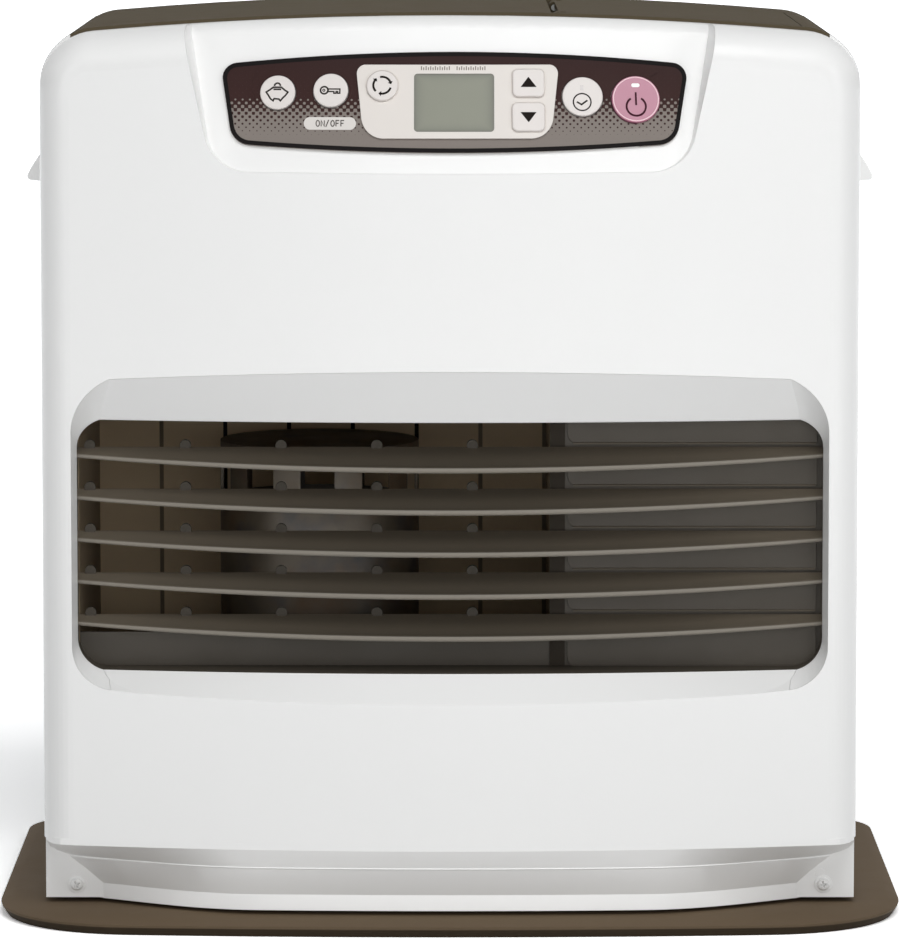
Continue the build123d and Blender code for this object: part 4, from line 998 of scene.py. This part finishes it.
def tray_outline(height, side, front):
    """The tray's plan at one height, drawn in from the side and the front."""
    half = TRAY_HALF - side
    low = TRAY_FRONT + front
    start = Vector((half - TRAY_CORNER_ACROSS, low + TRAY_BOW))
    points = []
    for step in range(TRAY_BOW_STEPS):
        points.append((start.x * step / TRAY_BOW_STEPS, low + TRAY_BOW * (step / TRAY_BOW_STEPS) ** 2))
    end = Vector((half, low + TRAY_CORNER_ALONG))
    points += curve(start, start + Vector((TRAY_CORNER_PULL, TRAY_BOW / 2)),
                    Vector((half, low + TRAY_CORNER_PULL)), end)
    radius = max(TRAY_REAR_RADIUS - side, TRAY_REAR_LEAST)
    for step in range(9):
        angle = radians(90 * step / 8)
        points.append((half - radius + radius * cos(angle), TRAY_REAR - side - radius + radius * sin(angle)))
    left = [(-x, y) for x, y in points[:0:-1]]
    return [(x, y, height) for x, y in points + left]


def tray_well(height, inset):
    """Plan of the tray's sunk middle at one height, with as many points as its outline."""
    half = HALF_BODY / MM - TRAY_WELL_MARGIN - inset
    front = FLANGE_FRONT + TRAY_WELL_MARGIN + inset
    rear = TRAY_WELL_REAR - inset
    points = []
    for x, y, _ in tray_outline(height, 0, 0):
        across = max(-1.0, min(1.0, x / (TRAY_HALF - TRAY_WELL_CORNER)))
        along = max(-1.0, min(1.0, y / TRAY_WELL_STRAIGHT))
        points.append((half * across, (front + rear) / 2 + (rear - front) / 2 * along, height))
    return points


def drip_tray():
    """A broad sloping rim round a sunk floor, over a steep wall made dark with painted shade."""
    outlines = [(0, 2.5, 2.5), (TRAY_EDGE - 0.8, 0.25, 0.25), (TRAY_EDGE, 0, 0), (TRAY_EDGE + 0.5, 0.7, 0.9),
                (TRAY_TOP, 6, TRAY_APRON)]
    wells = [(TRAY_TOP, 0), (TRAY_TOP - 1, 0.6), (TRAY_FLOOR, 2.0)]
    rings = [tray_outline(*level) for level in outlines] + [tray_well(*level) for level in wells]
    lofted("drip_tray", "tray_plastic", [rings], "base_tray", smooth_angle=40)


def hand_grips():
    """Each side's finger pocket with a hooded lip over it."""
    wall = HALF_BODY / MM
    hollow = HOOD + HOOD_UNDER
    full = HOOD + [HOOD_FOOT]
    stretches = [(hollow, GRIP_HOLLOW_END - GRIP_HALF, GRIP_HALF - GRIP_HOLLOW_END),
                 (full, -GRIP_HALF, GRIP_END - GRIP_HALF), (full, GRIP_HALF - GRIP_END, GRIP_HALF)]
    for node, side in (("left_grip", -1), ("right_grip", 1)):
        mesh = cut_copy(node, (side * (wall + GRIP_CUT) * MM, 0, 0), (side, 0, 0), clear_outer=True)
        lips = [[[(side * (wall + x), y, z) for x, z in section] for y in (start, end)]
                for section, start, end in stretches]
        as_piece(node + "_pocket", mesh, "white_moulding", node)
        lofted(node + "_lip", "white_moulding", lips, node)


def insert_wings():
    """Both ends of the printed insert, which reach a little further than its solid."""
    for name, side in (("insert_left_wing", -1), ("insert_right_wing", 1)):
        ends = [(u * MM, RAMP_START + v * MM) for u, v in insert_outline(0) if side * u > WING_FROM]
        lofted(name, "insert_film", [[[on_ramp(x, z, lift) / MM for x, z in ends] for lift in WING_LIFTS]])


def shoulder_skins():
    """The white skin of the sides, which laps over the ends of the brown cover."""
    for name, side in (("left_shoulder", -1), ("right_shoulder", 1)):
        mesh = cut_copy("top_cover", (side * SKIN_FROM * MM, 0, 0), (side, 0, 0), clear_inner=True)
        mesh.normal_update()
        for vertex in mesh.verts:
            vertex.co += vertex.normal * SKIN_LIFT * MM
        as_piece(name, mesh, "white_steel")


def hinge_lining():
    """A brown bed close under the barrels of the lid's hinge."""
    low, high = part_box("lid_hinge_pins")
    axis = (low + high) / 2 / MM
    front, back = (corner.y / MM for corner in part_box("tank_lid"))
    ends = (front - HINGE_BED_REACH, back + HINGE_BED_REACH)
    lofted("hinge_lining", "brown_cover", [[[(axis.x + x, y, axis.z + z) for x, z in HINGE_BED] for y in ends]])


def key_surrounds():
    """Pale rings that close the gaps between the keys and their plate, just under its face."""
    for node, (half_across, half_up, corner) in KEYS.items():
        place = on_cap(node)
        outlines = []
        for grow in (KEY_CLEARANCE, KEY_CLEARANCE + SURROUND_WIDTH):
            across = half_across + grow
            up = half_up + grow
            edge = min(corner + grow, across - 0.01, up - 0.01)
            outlines.append(rounded([(-across, up, edge), (across, up, edge), (across, -up, edge),
                                     (-across, -up, edge)]))
        inner, outer = outlines
        rings = []
        for outline, lift in ((inner, SURROUND_TOP), (outer, SURROUND_TOP), (outer, SURROUND_LOW),
                              (inner, SURROUND_LOW), (inner, SURROUND_TOP)):
            rings.append([place(u, v, lift * MM) / MM for u, v in outline])
        mesh = bmesh.new()
        add_loft(mesh, rings, capped=False)
        bmesh.ops.remove_doubles(mesh, verts=mesh.verts, dist=1e-7)
        as_piece(node + "_surround", mesh, "centre_plate")


# Screws

def revolved(profile, radius):
    """A mesh turned about Z from a half section given in shares of the radius."""
    mesh = bmesh.new()
    angles = [2 * pi * step / HEAD_STEPS for step in range(HEAD_STEPS)]
    rings = []
    for reach, height in profile[1:]:
        out, up = reach * radius, height * radius
        rings.append([mesh.verts.new((out * cos(angle), out * sin(angle), up)) for angle in angles])
    top = mesh.verts.new((0, 0, profile[0][1] * radius))
    for step in range(HEAD_STEPS):
        after = (step + 1) % HEAD_STEPS
        mesh.faces.new((top, rings[0][step], rings[0][after]))
        for upper, lower in zip(rings, rings[1:]):
            mesh.faces.new((upper[step], lower[step], lower[after], upper[after]))
    mesh.faces.new(rings[-1][::-1])
    return mesh


def crossed(mesh, radius):
    """The same head with a tapered cross recess in its top."""
    head = link_mesh("head", mesh)
    arm, half_width, top, bottom = 0.42, 0.1, 0.7, 0.2
    slots = bmesh.new()
    for long_x, long_y in ((arm, half_width), (half_width, arm)):
        for vertex in bmesh.ops.create_cube(slots, size=2)["verts"]:
            taper = 0.55 if vertex.co.z < 0 else 1.25
            vertex.co = Vector((vertex.co.x * long_x * taper, vertex.co.y * long_y * taper,
                                top if vertex.co.z > 0 else bottom)) * radius
    tool = link_mesh("slots", slots)
    cut = head.modifiers.new("cut", "BOOLEAN")
    cut.operation = "DIFFERENCE"
    cut.solver = "EXACT"
    cut.use_self = True
    cut.object = tool
    bpy.context.view_layer.update()
    made = bpy.data.meshes.new_from_object(head.evaluated_get(bpy.context.evaluated_depsgraph_get()))
    for item in (head, tool):
        bpy.data.objects.remove(item)
    return made


def make_screws(node, material, out, radius, places):
    """Cross headed screws in place of a node's plain ones."""
    head = crossed(revolved(HEAD_PROFILE, radius), radius)
    head.materials.clear()
    head.materials.append(materials[material])
    turn = Vector((0, 0, 1)).rotation_difference(out)
    for number, (place, spin) in enumerate(places, 1):
        piece = link(f"{node}_{number}", head)
        piece.rotation_mode = "QUATERNION"
        piece.rotation_quaternion = turn @ Quaternion((0, 0, 1), spin)
        piece.location = place
        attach(piece, "root")
        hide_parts(node)


def loose_parts(node):
    """The corners of each separate part of a node's mesh."""
    mesh = bmesh.new()
    mesh.from_mesh(nodes[node].data)
    bmesh.ops.remove_doubles(mesh, verts=mesh.verts, dist=1e-6)
    waiting = set(mesh.verts)
    boxes = []
    while waiting:
        front = [waiting.pop()]
        points = []
        while front:
            vertex = front.pop()
            points.append(nodes[node].matrix_world @ vertex.co)
            for edge in vertex.link_edges:
                other = edge.other_vert(vertex)
                if other in waiting:
                    waiting.remove(other)
                    front.append(other)
        boxes.append((Vector(map(min, *points)), Vector(map(max, *points))))
    mesh.free()
    return sorted(boxes, key=lambda box: tuple(round(value, 5) for value in box[0]))


def all_screws():
    """The two white screws in the front flanges, and those that hold the back panel."""
    front = [(Vector((side * SCREW_X, FLANGE_FRONT, SCREW_Z)) * MM, spin) for side, spin in SCREW_TURNS]
    make_screws("front_screws", "screw_paint", Vector((0, -1, 0)), SCREW_RADIUS * MM, front)
    for side, (low, high) in zip(("left", "right"), loose_parts("front_screws")):
        middle = (low + high) / 2 / MM
        plug = disc((middle.x, FLANGE_FRONT - 0.02, middle.z), PLUG_RADIUS, FLANGE_FRONT + 1)
        lofted(side + "_flange_plug", "white_steel", [plug])
    rear = []
    for number, (low, high) in enumerate(loose_parts("rear_screws")):
        middle = (low + high) / 2
        rear.append((Vector((middle.x, BACK_FACE * MM, middle.z)), REAR_SCREW_TURN + number))
        radius = (high.x - low.x) / 2
    make_screws("rear_screws", "plated_steel", Vector((0, 1, 0)), radius, rear)


def make_paints():
    """Mouldings, paints and films, by the name that their pieces ask for."""
    white = rgb(242, 242, 241)
    brown = rgb(88, 79, 63)
    tray = rgb(106, 91, 73)
    grille = rgb(70, 64, 55)
    # White mouldings get a painted highlight, a lighter tint, on faces that point up.
    moulded("white_moulding", white, 0.34, grain=0.00002, grain_scale=1500, soften=0.0004, coat=0.15,
            variation=0.006, painted_top_light=(0.12, 0.36, rgb(249, 249, 248)))
    moulded("white_steel", white, 0.42, grain_scale=1800, soften=0.0003, variation=0.008)
    moulded("screw_paint", white, 0.3, grain=0.00001, soften=0.0001, variation=0.01)
    moulded("brown_cover", brown, 0.75, grain=0.00006, grain_scale=2200, soften=0.0005, specular=0.05,
            variation=0.03)
    moulded("brown_steel", brown, 0.58, grain=0.00005, grain_scale=1600, soften=0.0003, specular=0.3,
            variation=0.03)
    # The tray's steep outer wall under its edge is darkened with painted shade.
    moulded("tray_plastic", tray, 0.7, grain=0.00007, grain_scale=1700, soften=0.0006, specular=0.06,
            variation=0.035, low=((TRAY_EDGE - 0.9) * MM, shade(tray, 0.28)))
    moulded("grille_steel", grille, 0.46, grain=0.00003, grain_scale=1500, soften=0.0003, specular=0.3,
            variation=0.04)
    # Louvres: a painted highlight on the noses, and painted light on their tops that grows towards the back.
    louvre_coat("louvre_paint", rgb(128, 122, 112), shade(grille, 0.82), shade(grille, 2.6))
    # Lips along the pads' lower edges: a paler tint that is a painted highlight.
    moulded("lip_highlight_paint", shade(grille, 1.7), 0.5, grain=0.00002, specular=0.2)
    moulded("tab_paint", shade(grille, 0.75), 0.5, grain=0.00003, soften=0.0003, specular=0.2)
    moulded("shadow_paint", rgb(48, 42, 34), 0.6, grain=0.00003, specular=0.15)
    moulded("baffle_steel", rgb(206, 184, 152), 0.6, grain=0.00005, specular=0.2, variation=0.05)
    moulded("duct_enamel", rgb(142, 126, 104), 0.6, specular=0.25, variation=0.05)
    moulded("centre_plate", rgb(228, 222, 216), 0.4, grain=0.00002, soften=0.0003, variation=0.01)
    moulded("button_pale", rgb(228, 222, 218), 0.36, grain=0.00002, soften=0.0002, variation=0.01)
    moulded("button_power", rgb(174, 106, 130), 0.3, grain=0.00001, soften=0.0003, coat=0.3, variation=0.03)
    moulded("ceramic", rgb(232, 228, 218), 0.5, variation=0.03)
    moulded("tank_steel", rgb(178, 174, 164), 0.38, grain=0.00005, variation=0.03)
    moulded("black_plastic", rgb(44, 43, 42), 0.5, grain=0.00008, variation=0.06)
    moulded("gauge_face", rgb(236, 234, 228), 0.2, coat=0.5)
    moulded("rubber_feet", rgb(42, 42, 42), 0.8, grain=0.0001, variation=0.08)


def make_inks():
    """What is printed, and the small windows and rims on the buttons."""
    inks = {"ink_grey": (48, 43, 40), "ink_dark": (34, 29, 27), "ink_plum": (66, 34, 44),
            "ink_words": (88, 82, 78), "ink_faint": (122, 112, 106)}
    for name, colour in inks.items():
        moulded(name, rgb(*colour), 0.7, grain=INK_GRAIN, specular=0.05)
    moulded("edge_black", rgb(17, 14, 14), 0.6, grain=INK_GRAIN, specular=0.08)
    moulded("label_white", rgb(222, 217, 212), 0.4, grain=INK_GRAIN, variation=0.01)
    moulded("window_pale", rgb(212, 206, 204), 0.2, grain=INK_GRAIN, variation=0.01)
    moulded("window_lit", rgb(250, 246, 248), 0.2, grain=INK_GRAIN, variation=0.005)
    moulded("rim_pink", rgb(233, 196, 204), 0.25, grain=INK_GRAIN, variation=0.02)


def make_metals():
    """Metals, meshes and the two faces with a pattern of their own."""
    bare_metal("plated_steel", rgb(190, 192, 190), 0.36)
    bare_metal("brass_fittings", rgb(206, 170, 106), 0.3)
    bare_metal("motor_steel", rgb(168, 170, 172), 0.34)
    heat_darkened("burner_steel", rgb(92, 83, 70))
    fine_mesh("filter_mesh", rgb(58, 54, 50), 2.2 * MM)
    fine_mesh("strainer", rgb(186, 184, 176), 1.2 * MM)
    circuit_laminate("circuit_board")
    halftone_film("insert_film")
    display_glass("display")


def make_materials():
    """All materials, put on the nodes by their slots."""
    make_paints()
    make_inks()
    make_metals()
    dressed = {"warm_air_duct": "duct_enamel", "heat_shield": "duct_enamel", "fan_shroud": "duct_enamel"}
    for entry in record["subparts"]:
        mesh = nodes[entry["node"]].data
        mesh.materials.clear()
        mesh.materials.append(materials[dressed.get(entry["node"], entry["material_slot"])])


make_materials()
set_camera()
make_floor()
for make in (outlet_grille, closed_part, heat_baffle, front_moulding, drip_tray, hand_grips, insert_wings,
             shoulder_skins, hinge_lining, key_surrounds, insert_marks, button_marks, all_screws):
    make()
set_world()
for lamp_name, settings in LAMPS.items():
    area_light(lamp_name, *settings)

bpy.context.scene.view_settings.view_transform = "Standard"
